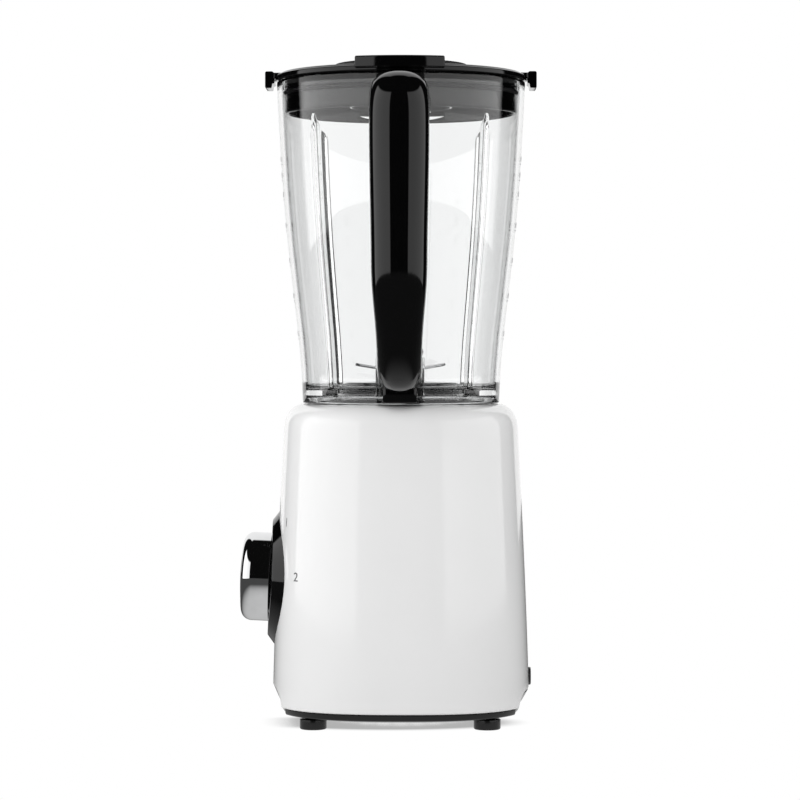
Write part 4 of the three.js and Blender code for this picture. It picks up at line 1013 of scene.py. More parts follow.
def jug_angles():
    """Angles round the jug, closer together across the four ribs and the spout."""
    fine = np.linspace(0, 2 * np.pi, 40001)
    from_rib = np.abs(fine % (np.pi / 2) - np.pi / 4)
    density = 1 + 9 * np.exp(-((from_rib * 62 / 2.6) ** 2)) + 1.2 * np.exp(-(((fine - np.pi / 2) / 0.4) ** 2))
    total = np.concatenate([[0], np.cumsum(0.5 * (density[1:] + density[:-1]))])
    return np.interp(np.arange(420) * total[-1] / 420, total, fine)


def jug_surface(rib_reach):
    """The jug as one closed skin: up the outer wall, over the round rim, down the inner wall, across the floor to the
    threaded ring's hole, and back under the floor to the foot. On the inner wall four ribs stand in: across each, the
    radius shrinks by a flat-topped bell, which ends near the rim in a quarter circle."""
    a = jug_angles()[:, None]
    steps = 46
    climb = np.linspace(0, 1, steps)
    outer_z = Z_JUG + 1.2 + (Z_RIM - 1.5 - Z_JUG - 1.2) * climb
    foot = np.array([[JUG_LOW_R - 1.0, Z_JUG], [JUG_LOW_R - 0.35, Z_JUG + 0.3], [JUG_LOW_R - 0.05, Z_JUG + 0.8]])
    turn = np.linspace(0, np.pi, 9)[1:-1]
    rim = np.stack([JUG_HIGH_R - 1.5 + 1.5 * np.cos(turn), Z_RIM - 1.5 + 1.5 * np.sin(turn)], -1)
    inner_z = Z_RIM - 1.5 + (Z_FLOOR + 5.0 - Z_RIM + 1.5) * np.linspace(0, 1, 74) ** 0.92
    inner_r = jug_radius(inner_z) - JUG_WALL
    r_floor = float(jug_radius(np.array(Z_FLOOR + 5.0))) - JUG_WALL
    floor = rounded(
        [
            [r_floor, Z_FLOOR + 5, 0.01],
            [r_floor - 0.1, Z_FLOOR, 4.2],
            [BOSS_R - 5, Z_FLOOR, 0.8],
            [BOSS_R - 5, Z_FLOOR - 15, 0.5],
            [BOSS_R, Z_FLOOR - 15, 0.5],
            [BOSS_R, Z_FLOOR - 4, 0.8],
            [JUG_LOW_R - JUG_WALL, Z_FLOOR - 4, 1.5],
            [JUG_LOW_R - JUG_WALL, Z_JUG, 0.8],
            [JUG_LOW_R - 1.0, Z_JUG, 0.01],
        ],
        6,
        closed=False,
    )
    profile = np.concatenate(
        [foot, np.stack([jug_radius(outer_z), outer_z], -1), rim, np.stack([inner_r, inner_z], -1), floor[7:-6]]
    )
    inner = np.zeros(len(profile))
    first = len(foot) + steps + len(rim)
    inner[first : first + len(inner_z) + 10] = 1
    r, z = profile[None, :, 0], profile[None, :, 1]
    rib_top = Z_RIM - RIB_BELOW_RIM
    across = np.abs(a % (np.pi / 2) - np.pi / 4) * 60.0  # millimetres round the wall, at a middling radius
    section = 1 / (1 + (across / RIB_HALF) ** 6)
    end = np.clip((z - rib_top) / RIB_END + 1, 0, 1)
    cap = np.sqrt(1 - end**2) * (z < rib_top)
    rib = rib_reach * section * cap * inner[None]
    r = r - rib + spout_push(a, z) * (z > Z_RIM - SPOUT_HIGH)
    return np.stack([r * np.cos(a), r * np.sin(a), np.broadcast_to(z, r.shape)], -1)


def mount_cheeks():
    """The jug's clear mounts for the handle: at the top and the bottom, a flat clear block a little wider than the
    handle's root, standing off the wall, with rounded edges."""
    patches = []
    for z_low, z_high, reach, half in ((Z_RIM - 23.5, Z_RIM - 14.0, 5.0, 17.9), (Z_JUG + 1.2, Z_JUG + 27.0, 6.0, 14.2)):
        z = np.linspace(z_low, z_high, 12)
        wall = jug_radius(z)
        section = rounded([[-half, 0, 0.6], [half, 0, 0.6], [half - 0.4, reach, 1.4], [-half + 0.4, reach, 1.4]], 5)
        x, out = section[None, :, 0], section[None, :, 1]
        base = np.sqrt(np.maximum(wall[:, None] ** 2 - x**2, 0)) - 0.4
        y = -(base * (1 - out / reach) + (wall[:, None] - 0.4 + reach) * (out / reach))
        rows = np.stack([np.broadcast_to(x, y.shape), y, np.broadcast_to(z[:, None], y.shape)], -1)
        patches.append((capped(rows), False, True))
    return patches


def on_jug(flat, angle, z0, lift):
    """Flat artwork bent round the jug: x runs clockwise seen from above the reader, y up, z out of the wall."""
    z = z0 + flat[:, 1]
    r = jug_radius(z) + lift + flat[:, 2]
    a = angle + flat[:, 0] / jug_radius(z)
    return np.stack([r * np.cos(a), r * np.sin(a), z], -1)


MARK_DIGITS, MARK_LINE = 3.1, 0.55
MARKS = [
    (225.6, "250"), (248.1, "500"), (268.9, "750"), (289.7, "1000"), (308.1, "1250"), (319.4, "1400"), (328.9, "1500")
]


class COUNTERBLENDER_OT_jug(bpy.types.Operator):
    """Makes the clear jug with its ribs, spout, threaded ring and measuring marks"""

    bl_idname = "counterblender.jug"
    bl_label = "Jug"
    bl_options = {"REGISTER", "UNDO"}

    def execute(self, context):
        reach = context.scene.blender_sizes.jug_ribs / MM
        piece("clear_jug", [(jug_surface(reach), True, True)], "jug", "clear_plastic", ["jug"], 180)
        groups = []
        for z, label in MARKS:
            for angle in (np.pi, 0.0):
                width = 9.0 if label.endswith("00") else 6.0
                line = np.stack([np.linspace(-width / 2, width / 2, 13), np.zeros(13)], -1)
                points, faces = ribbon(line, MARK_LINE)
                groups.append((on_jug(points, angle, z, 0.05), faces))
                points, faces = text_points(label, MARK_DIGITS)
                points = points + np.array([0.0, MARK_DIGITS, 0.0])
                groups.append((on_jug(points, angle, z, 0.05), faces))
        print_piece("measuring_marks", groups, "jug")
        return {"FINISHED"}


# ---------- collar and blade unit ----------
class COUNTERBLENDER_OT_blade_unit(bpy.types.Operator):
    """Makes the jug's locking collar, the blade carrier, its bush and the socket under it"""

    bl_idname = "counterblender.blade_unit"
    bl_label = "Collar and blade carrier"
    bl_options = {"REGISTER", "UNDO"}

    def execute(self, context):
        top = high_mm("collar")[2]
        carrier_top = high_mm("blade_carrier")[2]
        flange = high_mm("blade_seal")[2] - 1.8
        lip = flange - 2.9
        lip_r = BOSS_R - 8
        profile = rounded(
            [[lip_r, Z_COLLAR, 0.6], [COLLAR_R, Z_COLLAR, 1.2], [COLLAR_R, top, 0.6], [BOSS_R + 0.3, top, 0.4],
             [BOSS_R + 0.3, lip, 0.3], [lip_r, lip, 0.5]],
            5,
        )

        def grip(angle, r, z):
            teeth = 0.5 - 0.5 * np.cos(60 * angle)
            hold = smooth_step((z - Z_COLLAR - 1.5) / 1.5) * smooth_step((Z_JUG + 0.6 - z) / 1.5)
            return r - 0.9 * teeth * hold * (r > COLLAR_R - 1)

        tall = np.concatenate(
            [
                profile[:12], np.stack([np.full(14, COLLAR_R), np.linspace(Z_COLLAR + 1.4, top - 0.8, 14)], -1),
                profile[12:]
            ]
        )
        piece("locking_collar", [(turned(tall, 480, grip), True, True)], "jug", "black_plastic", ["collar"], 40)

        carrier_r = BOSS_R - 5.3
        body = rounded(
            [
                [22, flange - 2.6, 0.4],
                [BOSS_R - 0.3, flange - 2.6, 0.5],
                [BOSS_R - 0.3, flange, 0.4],
                [carrier_r, flange, 0.3],
                [carrier_r, carrier_top - 4, 2.5],
                [carrier_r - 6, carrier_top - 1, 4.0],
                [BUSH_R + 6, carrier_top, 3.0],
                [BUSH_R + 0.3, carrier_top, 0.4],
                [BUSH_R + 0.3, carrier_top - 9, 0.3],
                [22, carrier_top - 9, 1.2],
            ],
            6,
        )
        piece("carrier_dome", [(turned(body, 128), True, True)], "jug", "black_plastic", ["blade_carrier"], 40)
        bush = rounded(
            [[4.3, carrier_top - 10, 0.3], [8, carrier_top - 10, 0.4], [8, carrier_top + 0.3, 0.1],
             [10.5, carrier_top + 0.3, 0.3],
             [10.2, carrier_top + 1.7, 0.8], [7, carrier_top + 2.6, 0.8], [4.3, carrier_top + 2.6, 0.4]],
            5,
        )
        piece("shaft_bush", [(turned(bush, 96), True, True)], "jug", "cast_alloy", ["blade_bush"])
        low, high = low_mm("driven_coupling")[2], high_mm("driven_coupling")[2]
        roof = high_mm("drive_coupling")[2] + 0.5
        socket = rounded(
            [[0, roof, 0], [15.9, roof, 0.3], [SOCKET_R, roof - 0.6, 0.3], [SOCKET_R, low + 1.2, 0.6], [17.6, low, 0.6],
             [20.4, low, 0.6], [21, low + 0.8, 0.6],
             [21, high, 0.8], [4.3, high, 0.3], [4.3, high - 3.3, 0.2], [0, high - 3.3, 0]],
            5,
            closed=False,
        )

        def hollow(angle, r, z):
            inside = (r < 18) & (z < roof + 0.1) & (r > 1)
            return np.where(inside, r * lobed(angle, SOCKET_R) / SOCKET_R, r)

        piece(
            "lobed_socket", [(turned(socket, 240, hollow), True, False)], "blades", "dark_plastic", ["driven_coupling"],
            40
        )
        return {"FINISHED"}


def blade_surface(reach, bend, bend_at=6.0, thick=1.5):
    """A two-armed blade. Along it, a straight middle turns up at each side by the bend's angle. Its width shrinks from
    the hub to the tips, and across it the thickness falls away to a ground edge on the leading side."""
    s = np.concatenate([-np.linspace(1, 0, 40) ** 0.8, np.linspace(0, 1, 40)[1:] ** 0.8])[:, None] * reach
    out = np.abs(s) / reach
    q = round_angles(40)[None]
    c, n = np.cos(q), np.sin(q)
    side = np.sign(c) * np.abs(c) ** 0.35
    face = np.sign(n) * np.abs(n) ** 0.35
    lead = 8.3 - 4.4 * smooth_step((out - 0.25) / 0.85) - 1.2 * smooth_step((out - 0.86) / 0.14)
    trail = 8.3 - 3.2 * smooth_step((out - 0.22) / 0.85) - 2.4 * smooth_step((out - 0.86) / 0.14)
    turn = np.sign(s)
    width = np.where(side * turn > 0, lead, trail)
    across = side * width
    ground = smooth_step((side * turn - 0.25) / 0.75) * smooth_step((out - 0.24) / 0.08)
    height = face * thick / 2 * (1 - 0.86 * ground) - 0.35 * thick * ground
    rise = np.maximum(np.abs(s) - bend_at, 0)
    lift = rise * math.sin(bend)
    slope = np.clip(rise / 2.5, 0, 1) * bend
    x = np.sign(s) * (np.minimum(np.abs(s), bend_at) + rise * math.cos(bend)) - np.sign(s) * height * np.sin(slope)
    z = lift + height * np.cos(slope) + thick / 2
    return capped(np.stack([np.broadcast_to(x, z.shape), np.broadcast_to(across, z.shape), z], -1))


class COUNTERBLENDER_OT_blades(bpy.types.Operator):
    """Makes the two ground steel blades, their washer, shaft and nut"""

    bl_idname = "counterblender.blades"
    bl_label = "Blades"
    bl_options = {"REGISTER", "UNDO"}

    def execute(self, context):
        z_blade = high_mm("thrust_washer")[2] + 0.3
        twist = 0.5
        lower = spin(blade_surface(29.0, math.radians(8)), twist) + np.array([0, 0, z_blade])
        upper = spin(blade_surface(24.6, math.radians(34)), twist + math.pi / 2) + np.array([0, 0, z_blade + 2.5])
        piece("ground_blade_low", [(lower, False, True)], "blades", "steel", ["lower_blade"], 34)
        piece("ground_blade_high", [(upper, False, True)], "blades", "steel", ["upper_blade"], 34)
        washer = rounded(
            [[3.3, z_blade - 2.1, 0.1], [7, z_blade - 2.1, 0.3], [7, z_blade - 0.3, 0.3], [3.3, z_blade - 0.3, 0.1]], 3
        )
        piece("thrust_ring", [(turned(washer, 64), True, True)], "blades", "steel", ["thrust_washer"])
        low = z_blade + 5.2
        nut = rounded(
            [[3.3, low, 0.1], [6.4, low, 0.3], [6.4, low + 4.2, 0.5], [5.1, low + 5.0, 0.5], [4.6, low + 7.6, 1.0],
             [2.6, low + 9.6, 2.0], [0, low + 10, 0], [0, low + 7.6, 0], [3.3, low + 7.6, 0.1]],
            6,
            closed=False,
        )

        def flats(angle, r, z):
            six = math.cos(math.pi / 6) / np.cos(angle % (math.pi / 3) - math.pi / 6)
            hold = smooth_step((low + 5.0 - z) / 0.9)
            return np.where(r > 5.0, r * (1 + (six - 1) * hold), r)

        piece("domed_nut", [(turned(nut, 180, flats), True, True)], "blades", "steel", ["blade_nut"], 30)
        shaft_low = low_mm("blade_shaft")[2]
        shaft = rounded(
            [
                [0, shaft_low, 0], [4, shaft_low, 0.4], [4, z_blade - 2.4, 0.3], [3, z_blade - 2.4, 0.1],
                [3, z_blade + 8, 0.4], [0, z_blade + 8, 0]
            ],
            4,
            closed=False,
        )
        piece("drive_spindle", [(turned(shaft, 48), True, False)], "blades", "steel", ["blade_shaft"])
        return {"FINISHED"}


# ---------- handle ----------
HANDLE_OUT = -low_mm("handle_grip")[1]
GRIP_THICK = 19.0
GRIP_IN = HANDLE_OUT - GRIP_THICK


def grip_guides(count=150):
    """The handle's outer and inner lines seen from the side, as (distance out, height) along matching splines."""
    top = Z_RIM - 1.7
    out, ins = HANDLE_OUT, GRIP_IN
    outer = [
        [70, top], [88, top], [97, top - 0.1], [105.5, top - 1.2], [113, top - 5.5], [out - 1.2, top - 13.5],
        [out, top - 22], [out, top - 32],
        [out, top - 50], [out, top - 70], [out, Z_JUG + 96], [out - 0.2, Z_JUG + 78], [out - 1.6, Z_JUG + 60],
        [out - 4.6, Z_JUG + 44],
        [out - 9.4, Z_JUG + 29], [out - 16.2, Z_JUG + 16.5], [out - 25, Z_JUG + 9.4], [out - 36, Z_JUG + 7.2],
        [out - 48, Z_JUG + 6.8], [57, Z_JUG + 6.6],
    ]
    inner = [
        [70, top - 18], [82, top - 18], [88, top - 18], [93, top - 18.6], [96.6, top - 20.6], [ins - 0.9, top - 24.5],
        [ins, top - 30], [ins, top - 38], [ins, top - 54], [ins, top - 72], [ins, Z_JUG + 96], [ins - 0.2, Z_JUG + 80],
        [ins - 1.2, Z_JUG + 66],
        [ins - 3.4, Z_JUG + 54], [ins - 7.2, Z_JUG + 43], [ins - 12.6, Z_JUG + 34], [ins - 19, Z_JUG + 28],
        [ins - 26, Z_JUG + 24.8], [ins - 33, Z_JUG + 23], [57, Z_JUG + 22],
    ]
    return spline(outer, count), spline(inner, count)


def grip_width(outer):
    """Half the handle's width along it: full at the top, narrower toward the bottom, with a soft neck at each root."""
    z = outer[:, 1]
    low = smooth_step((Z_JUG + 78 - z) / 60)
    return 16.9 - 2.9 * low - 1.1 * smooth_step((Z_RIM - 30 - z) / 90) - 1.6 * smooth_step(
        (92 - outer[:, 0]) / 12
    ) * (z > Z_JUG + 100)


def grip_surface(crown):
    """The handle as a rounded bar swept between its outer and inner lines. Across it, the outer half is a superellipse
    of power 2.3 as deep as the crown, the inner half a flatter one of power 3.4."""
    outer, inner = grip_guides()
    half = grip_width(outer)[:, None]
    q = round_angles(96)[None]
    c, s = np.cos(q), np.sin(q)
    power = np.where(s > 0, 2.3, 3.4)
    x = np.sign(c) * np.abs(c) ** (2 / power)
    depth = np.sign(s) * np.abs(s) ** (2 / power)
    share = np.where(s > 0, crown * (1 - depth), crown + (GRIP_THICK - crown) * (-depth)) / GRIP_THICK
    line = outer[:, None] + (inner - outer)[:, None] * share[..., None]
    return capped(np.stack([x * half, -line[..., 0], line[..., 1]], -1))


def liner_surface():
    """The soft strip let into the handle's inner face: a shallow pad that follows the inner line between two heights,
    crowned across its width, with rounded ends."""
    outer, inner = grip_guides(600)
    keep = (inner[:, 0] > GRIP_IN - 4) & (inner[:, 1] > Z_JUG + 62) & (inner[:, 1] < Z_RIM - 40)
    line, direction = inner[keep], (inner - outer)[keep]
    direction /= np.linalg.norm(direction, axis=1, keepdims=True)
    pick = np.linspace(0, len(line) - 1, 90).astype(int)
    line, direction = line[pick], direction[pick]
    t = np.linspace(-1, 1, len(line))
    half = 11.0 * (1 - np.abs(t) ** 14) ** (1 / 3)
    q = round_angles(40)[None]
    c, s = np.cos(q), np.sin(q)
    x = np.sign(c) * np.abs(c) ** 0.6 * np.maximum(half, 0.6)[:, None]
    lift = np.sign(s) * np.abs(s) ** 0.5 * 0.9
    spot = line[:, None] + direction[:, None] * lift[..., None]
    return capped(np.stack([x, -spot[..., 0], spot[..., 1]], -1))


class COUNTERBLENDER_OT_handle(bpy.types.Operator):
    """Makes the black handle, its inner strip and the two screws that hold it"""

    bl_idname = "counterblender.handle"
    bl_label = "Handle"
    bl_options = {"REGISTER", "UNDO"}

    def execute(self, context):
        grip = grip_surface(context.scene.blender_sizes.handle_crown / MM)
        stem = prism(rounded_rect(9.8, 7.0, 2.0) + np.array([0.0, -63.0]), Z_JUG + 1.0, Z_JUG + 14.0, 0.8)
        spots = [middle_mm(f"handle_screw_{i}")[2] for i in (1, 2)]
        cut = [(np.stack([p[..., 0], -(GRIP_IN - 2.0) - 4.0 + p[..., 2], z - p[..., 1]], -1), True, False)
               for z in spots for p in [rod(3.2, -2.0, 6.4)]]
        piece("grip", [(grip, False, True), (stem, False, True)], "jug", "black_plastic", ["handle_grip"], 50)
        piece(
            "grip_strip", [(liner_surface(), False, True)], "jug", "dark_plastic", ["handle_liner"], 50, cut
        )
        head = rounded(
            [
                [0, 0.9, 0], [1.2, 0.9, 0.1], [1.35, 0.1, 0.2], [2.3, 0, 0.5], [2.9, 0.6, 0.4], [2.9, 1.4, 0.2],
                [1.7, 1.6, 0.2], [1.7, 12, 0.3], [0, 13, 0]
            ],
            3,
            closed=False,
        )
        for i, z in enumerate(spots):
            turned_head = turned(head, 36, hex_socket(1.5, 0.7))
            spot = np.stack([turned_head[..., 0], -(GRIP_IN + 0.1) - turned_head[..., 2], z - turned_head[..., 1]], -1)
            piece(f"grip_screw_{i + 1}", [(spot, True, False)], "jug", "steel", [f"handle_screw_{i + 1}"])
        piece("handle_mounts", mount_cheeks(), "jug", "clear_plastic", (), 40)
        return {"FINISHED"}


# ---------- lid ----------
def lid_surface():
    """The lid as one turned skin: the skirt, the flange over the rim, the step up to its top and the tube of the filler
    hole, with the flange pushed out over the spout."""
    skirt = float(jug_radius(np.array(SKIRT_LOW))) - JUG_WALL - 1
    groove = Z_FLANGE - 9
    top = Z_LID
    profile = rounded(
        [
            [skirt - 2.4, SKIRT_LOW, 0.8], [skirt, SKIRT_LOW, 0.8], [skirt, groove, 0.2], [skirt - 1, groove, 0.2],
            [skirt - 1, groove + 3, 0.2], [skirt, groove + 3, 0.2], [skirt, Z_FLANGE, 0.5], [FLANGE_R, Z_FLANGE, 0.7],
            [FLANGE_R, Z_FLANGE + 3.1, 0.9],
            [FLANGE_R - 1.8, Z_FLANGE + 3.5, 0.4], [FLANGE_R - 3.0, top, 1.0], [33.5, top, 0.6], [33.0, top - 0.5, 0.3],
            [FILLER_R, top - 0.6, 0.5],
            [FILLER_R, top - 12, 0.4], [33.7, top - 12, 0.4], [33.7, top - 2.4, 0.5], [skirt - 2.4, top - 2.4, 2.0],
        ],
        5,
    )

    def grow(angle, r, z):
        return r + spout_push(angle, np.full_like(z, Z_RIM)) * smooth_step((r - skirt - 0.8) / 2.0)

    return turned(profile, 256, grow), skirt


def tab_surface(side):
    """A finger tab at the lid's edge: an upright plate with a bridge back to the flange and a short leg under it. Its
    outline in X and Z is carried along Y, and the outer face is waved into ribs."""
    top, low = Z_FLANGE + 5.3, Z_FLANGE - 4.5
    outline = rounded(
        [
            [70.0, Z_FLANGE + 1.0, 0.3], [74.6, Z_FLANGE + 1.0, 0.3], [74.6, Z_FLANGE - 1.6, 0.5],
            [75.7, Z_FLANGE - 1.9, 0.5],
            [76.2, low, 0.6], [TAB_REACH, low, 0.9], [TAB_REACH, top, 1.0], [75.8, top, 1.0],
            [74.8, top - 0.7, 0.5], [70.0, top - 0.7, 0.4],
        ],
        5,
    )
    y = np.linspace(-TAB_HALF, TAB_HALF, 133)[:, None]
    x, z = outline[None, :, 0], outline[None, :, 1]
    ribs = 0.38 * (0.5 - 0.5 * np.cos(2 * np.pi * y / 2.2)) * smooth_step((TAB_HALF - np.abs(y)) / 0.8)
    outer = smooth_step((x - 78.4) / 1.2)
    high = smooth_step((z - top + 0.6) / 0.5) * (x > 76.4)
    x = x - ribs * outer
    z = z - ribs * high * 0.9
    narrow = 1 - 0.12 * smooth_step((75.6 - outline[None, :, 0]) / 1.0)
    end = np.clip((np.abs(y) - 10.4) / 0.6, 0, 1)
    pinch = 1 - np.sqrt(1 - end**2)
    x = x - (x - 77.5) * 0.12 * pinch * (outline[None, :, 0] > 76)
    rows = np.stack([x * side, np.broadcast_to(y * narrow, x.shape) * side, np.broadcast_to(z, x.shape)], -1)
    return capped(rows)


def thumb_block():
    """The block on the lid over the handle: a rounded section in radius and height carried along an arc round -Y."""
    section = rounded(
        [
            [63.0, Z_FLANGE + 1.4, 0.3], [79.5, Z_FLANGE + 1.4, 0.8], [79.5, Z_FLANGE + 8.2, 1.1],
            [66.0, Z_FLANGE + 8.2, 1.8], [63.0, Z_LID - 0.4, 0.5]
        ], 6
    )
    half = math.asin(25.6 / 79.5)
    t = np.concatenate([[-1], -1 + 0.035 * (1 - np.cos(np.linspace(0.3, np.pi / 2, 5))), np.linspace(-0.95, 0.95, 40),
                        (1 - 0.035 * (1 - np.cos(np.linspace(0.3, np.pi / 2, 5))))[::-1], [1]])[:, None]
    inset = 0.8 * (1 - np.sqrt(np.clip(1 - np.clip((np.abs(t) - 0.965) / 0.035, 0, 1) ** 2, 0, 1)))
    middle = section.mean(0)
    r = section[None, :, 0] - np.sign(section[None, :, 0] - middle[0]) * inset
    z = section[None, :, 1] - np.sign(section[None, :, 1] - middle[1]) * inset
    sweep = half * t * 79.5 / np.maximum(r, 1)
    a = -np.pi / 2 + sweep
    return capped(np.stack([r * np.cos(a), r * np.sin(a), z], -1))


class COUNTERBLENDER_OT_lid(bpy.types.Operator):
    """Makes the gloss lid with its finger tabs, thumb block and seal"""

    bl_idname = "counterblender.lid"
    bl_label = "Lid"
    bl_options = {"REGISTER", "UNDO"}

    def execute(self, context):
        body, skirt = lid_surface()
        t = np.linspace(-1, 1, 41)
        upper = np.stack([26.4 * t, 1.0 + 0 * t], -1)
        lower = np.stack([26.4 * t[::-1], 0.95 - 2.4 * (1 - t[::-1] ** 4)], -1)
        hole = prism(np.concatenate([upper, lower[1:-1]])[::-1], skirt - 16, skirt + 8)
        slit = [(np.stack([hole[..., 0], hole[..., 2], SKIRT_LOW + 3.1 + hole[..., 1]], -1), False, True)]
        piece("lid_body", [(body, True, True)], "lid", "black_plastic", ["lid"], 34, slit)
        piece(
            "lid_tabs", [(tab_surface(1), False, True), (tab_surface(-1), False, True)], "lid", "black_plastic", (), 40
        )
        piece("thumb_rest", [(thumb_block(), False, True)], "lid", "black_plastic", (), 40)
        low = Z_FLANGE - 8.7
        lip = float(jug_radius(np.array(low))) - JUG_WALL - 0.6
        seal = rounded(
            [
                [skirt - 0.7, low, 0.2], [skirt, low, 0.2], [lip, low + 1.0, 0.3], [lip, low + 1.5, 0.3],
                [skirt, low + 2.4, 0.2], [skirt - 0.7, low + 2.4, 0.2]
            ], 4
        )
        piece("seal_ring", [(turned(seal, 200), True, True)], "lid", "silicone", ["lid_seal"])
        return {"FINISHED"}


class COUNTERBLENDER_OT_cap(bpy.types.Operator):
    """Makes the knurled filler cap that plugs the hole in the lid"""

    bl_idname = "counterblender.cap"
    bl_label = "Filler cap"
    bl_options = {"REGISTER", "UNDO"}

    def execute(self, context):
        count = context.scene.blender_sizes.cap_ribs
        low = Z_LID + 0.3
        top = Z_CAP
        profile = rounded(
            [
                [0, top - 0.5, 0], [33.5, top - 0.5, 1.2], [35.0, top, 1.0], [39.4, top, 1.1], [CAP_R, low + 0.2, 0.5],
                [36.5, low, 0.4], [PLUG_R, low, 0.3],
                [PLUG_R - 0.3, Z_LID - 20, 0.6], [PLUG_R - 2.2, Z_LID - 20, 0.6], [PLUG_R - 2.2, top - 2.4, 1.5],
                [0, top - 2.4, 0],
            ],
            6,
            closed=False,
        )
        wall = np.stack([np.linspace(CAP_R - 0.5, CAP_R - 0.02, 8), np.linspace(top - 1.3, low + 0.6, 8)], -1)
        cut = int(np.argmax(profile[:, 0] > CAP_R - 0.55)) + 6
        profile = np.concatenate([profile[:cut], wall, profile[cut:]])

        def knurl(angle, r, z):
            wave = (0.5 - 0.5 * np.cos(count * angle)) ** 0.8
            hold = smooth_step((r - CAP_R + 2.0) / 1.2)
            return r - 0.75 * wave * hold

        piece(
            "knurled_cap", [(turned(profile, count * 8, knurl), True, False)], "cap", "black_plastic", ["filler_cap"],
            38
        )
        return {"FINISHED"}


# ---------- works inside the base ----------
WORKS = {
    "dark_plastic": [
        "knob_core", "rotary_switch", "brush_holder_1", "brush_holder_2", "cooling_fan", "interlock_pin",
        "interlock_switch"
    ],
    "steel": ["switch_spindle", "upper_bearing", "lower_bearing", "motor_shaft"],
    "lamination": ["stator_core", "armature_core"],
    "copper": ["field_coil_front", "field_coil_rear", "armature_winding_top", "armature_winding_bottom", "commutator"],
    "cast_alloy": ["upper_bearing_bracket", "lower_bearing_bracket"],
    "carbon": ["carbon_brush_1", "carbon_brush_2"],
    "rubber": ["motor_mount_1", "motor_mount_2", "motor_mount_3", "motor_mount_4"],
    "silicone": ["blade_seal"],
}


class COUNTERBLENDER_OT_works(bpy.types.Operator):
    """Gives the motor, switch and other works inside the base their finishes"""

    bl_idname = "counterblender.works"
    bl_label = "Motor and switch"
    bl_options = {"REGISTER", "UNDO"}

    def execute(self, context):
        for slot, names in WORKS.items():
            for name in names:
                obj = frame["nodes"][name]
                obj.data.materials.clear()
                obj.data.materials.append(finish_of(slot))
        return {"FINISHED"}


# ---------- stage ----------
def add_panel(name, corner, along, height, level):
    """A tall soft panel from one floor point to another, facing the blender. Mirrors see the world's panels instead."""
    corner, along = np.array(corner), np.array(along)
    middle = (corner + along) / 2
    width = float(np.linalg.norm(along - corner))
    data = bpy.data.lights.new(name, "AREA")
    data.shape, data.size, data.size_y = "RECTANGLE", width, height
    data.energy = level * math.pi * width * height
    obj = bpy.data.objects.new(name, data)
    bpy.context.scene.collection.objects.link(obj)
    direction = (along - corner) / width
    inward = np.array([-direction[1], direction[0]])
    if inward @ -middle < 0:
        inward = -inward
    obj.location = (middle[0], middle[1], height / 2 - 0.25)
    obj.rotation_euler = (math.pi / 2, 0, math.atan2(-inward[1], -inward[0]) + math.pi / 2)
    obj.visible_camera = obj.visible_transmission = obj.visible_glossy = False


def math_node(nodes, links, operation, first, second=None):
    """A Math node fed by two sockets or numbers."""
    node = nodes.new("ShaderNodeMath")
    node.operation = operation
    for slot_index, value in enumerate((first, second)):
        if value is None:
            continue
        if isinstance(value, (int, float)):
            node.inputs[slot_index].default_value = value
        else:
            links.new(value, node.inputs[slot_index])
    return node.outputs[0]


def smooth_range(nodes, links, source, low, high, to_low=0.0, to_high=1.0):
    """An S-shaped ramp of a value from low to high."""
    node = nodes.new("ShaderNodeMapRange")
    node.interpolation_type = "SMOOTHSTEP"
    for key, value in (("From Min", low), ("From Max", high), ("To Min", to_low), ("To Max", to_high)):
        node.inputs[key].default_value = value
    links.new(source, node.inputs["Value"])
    return node.outputs["Result"]


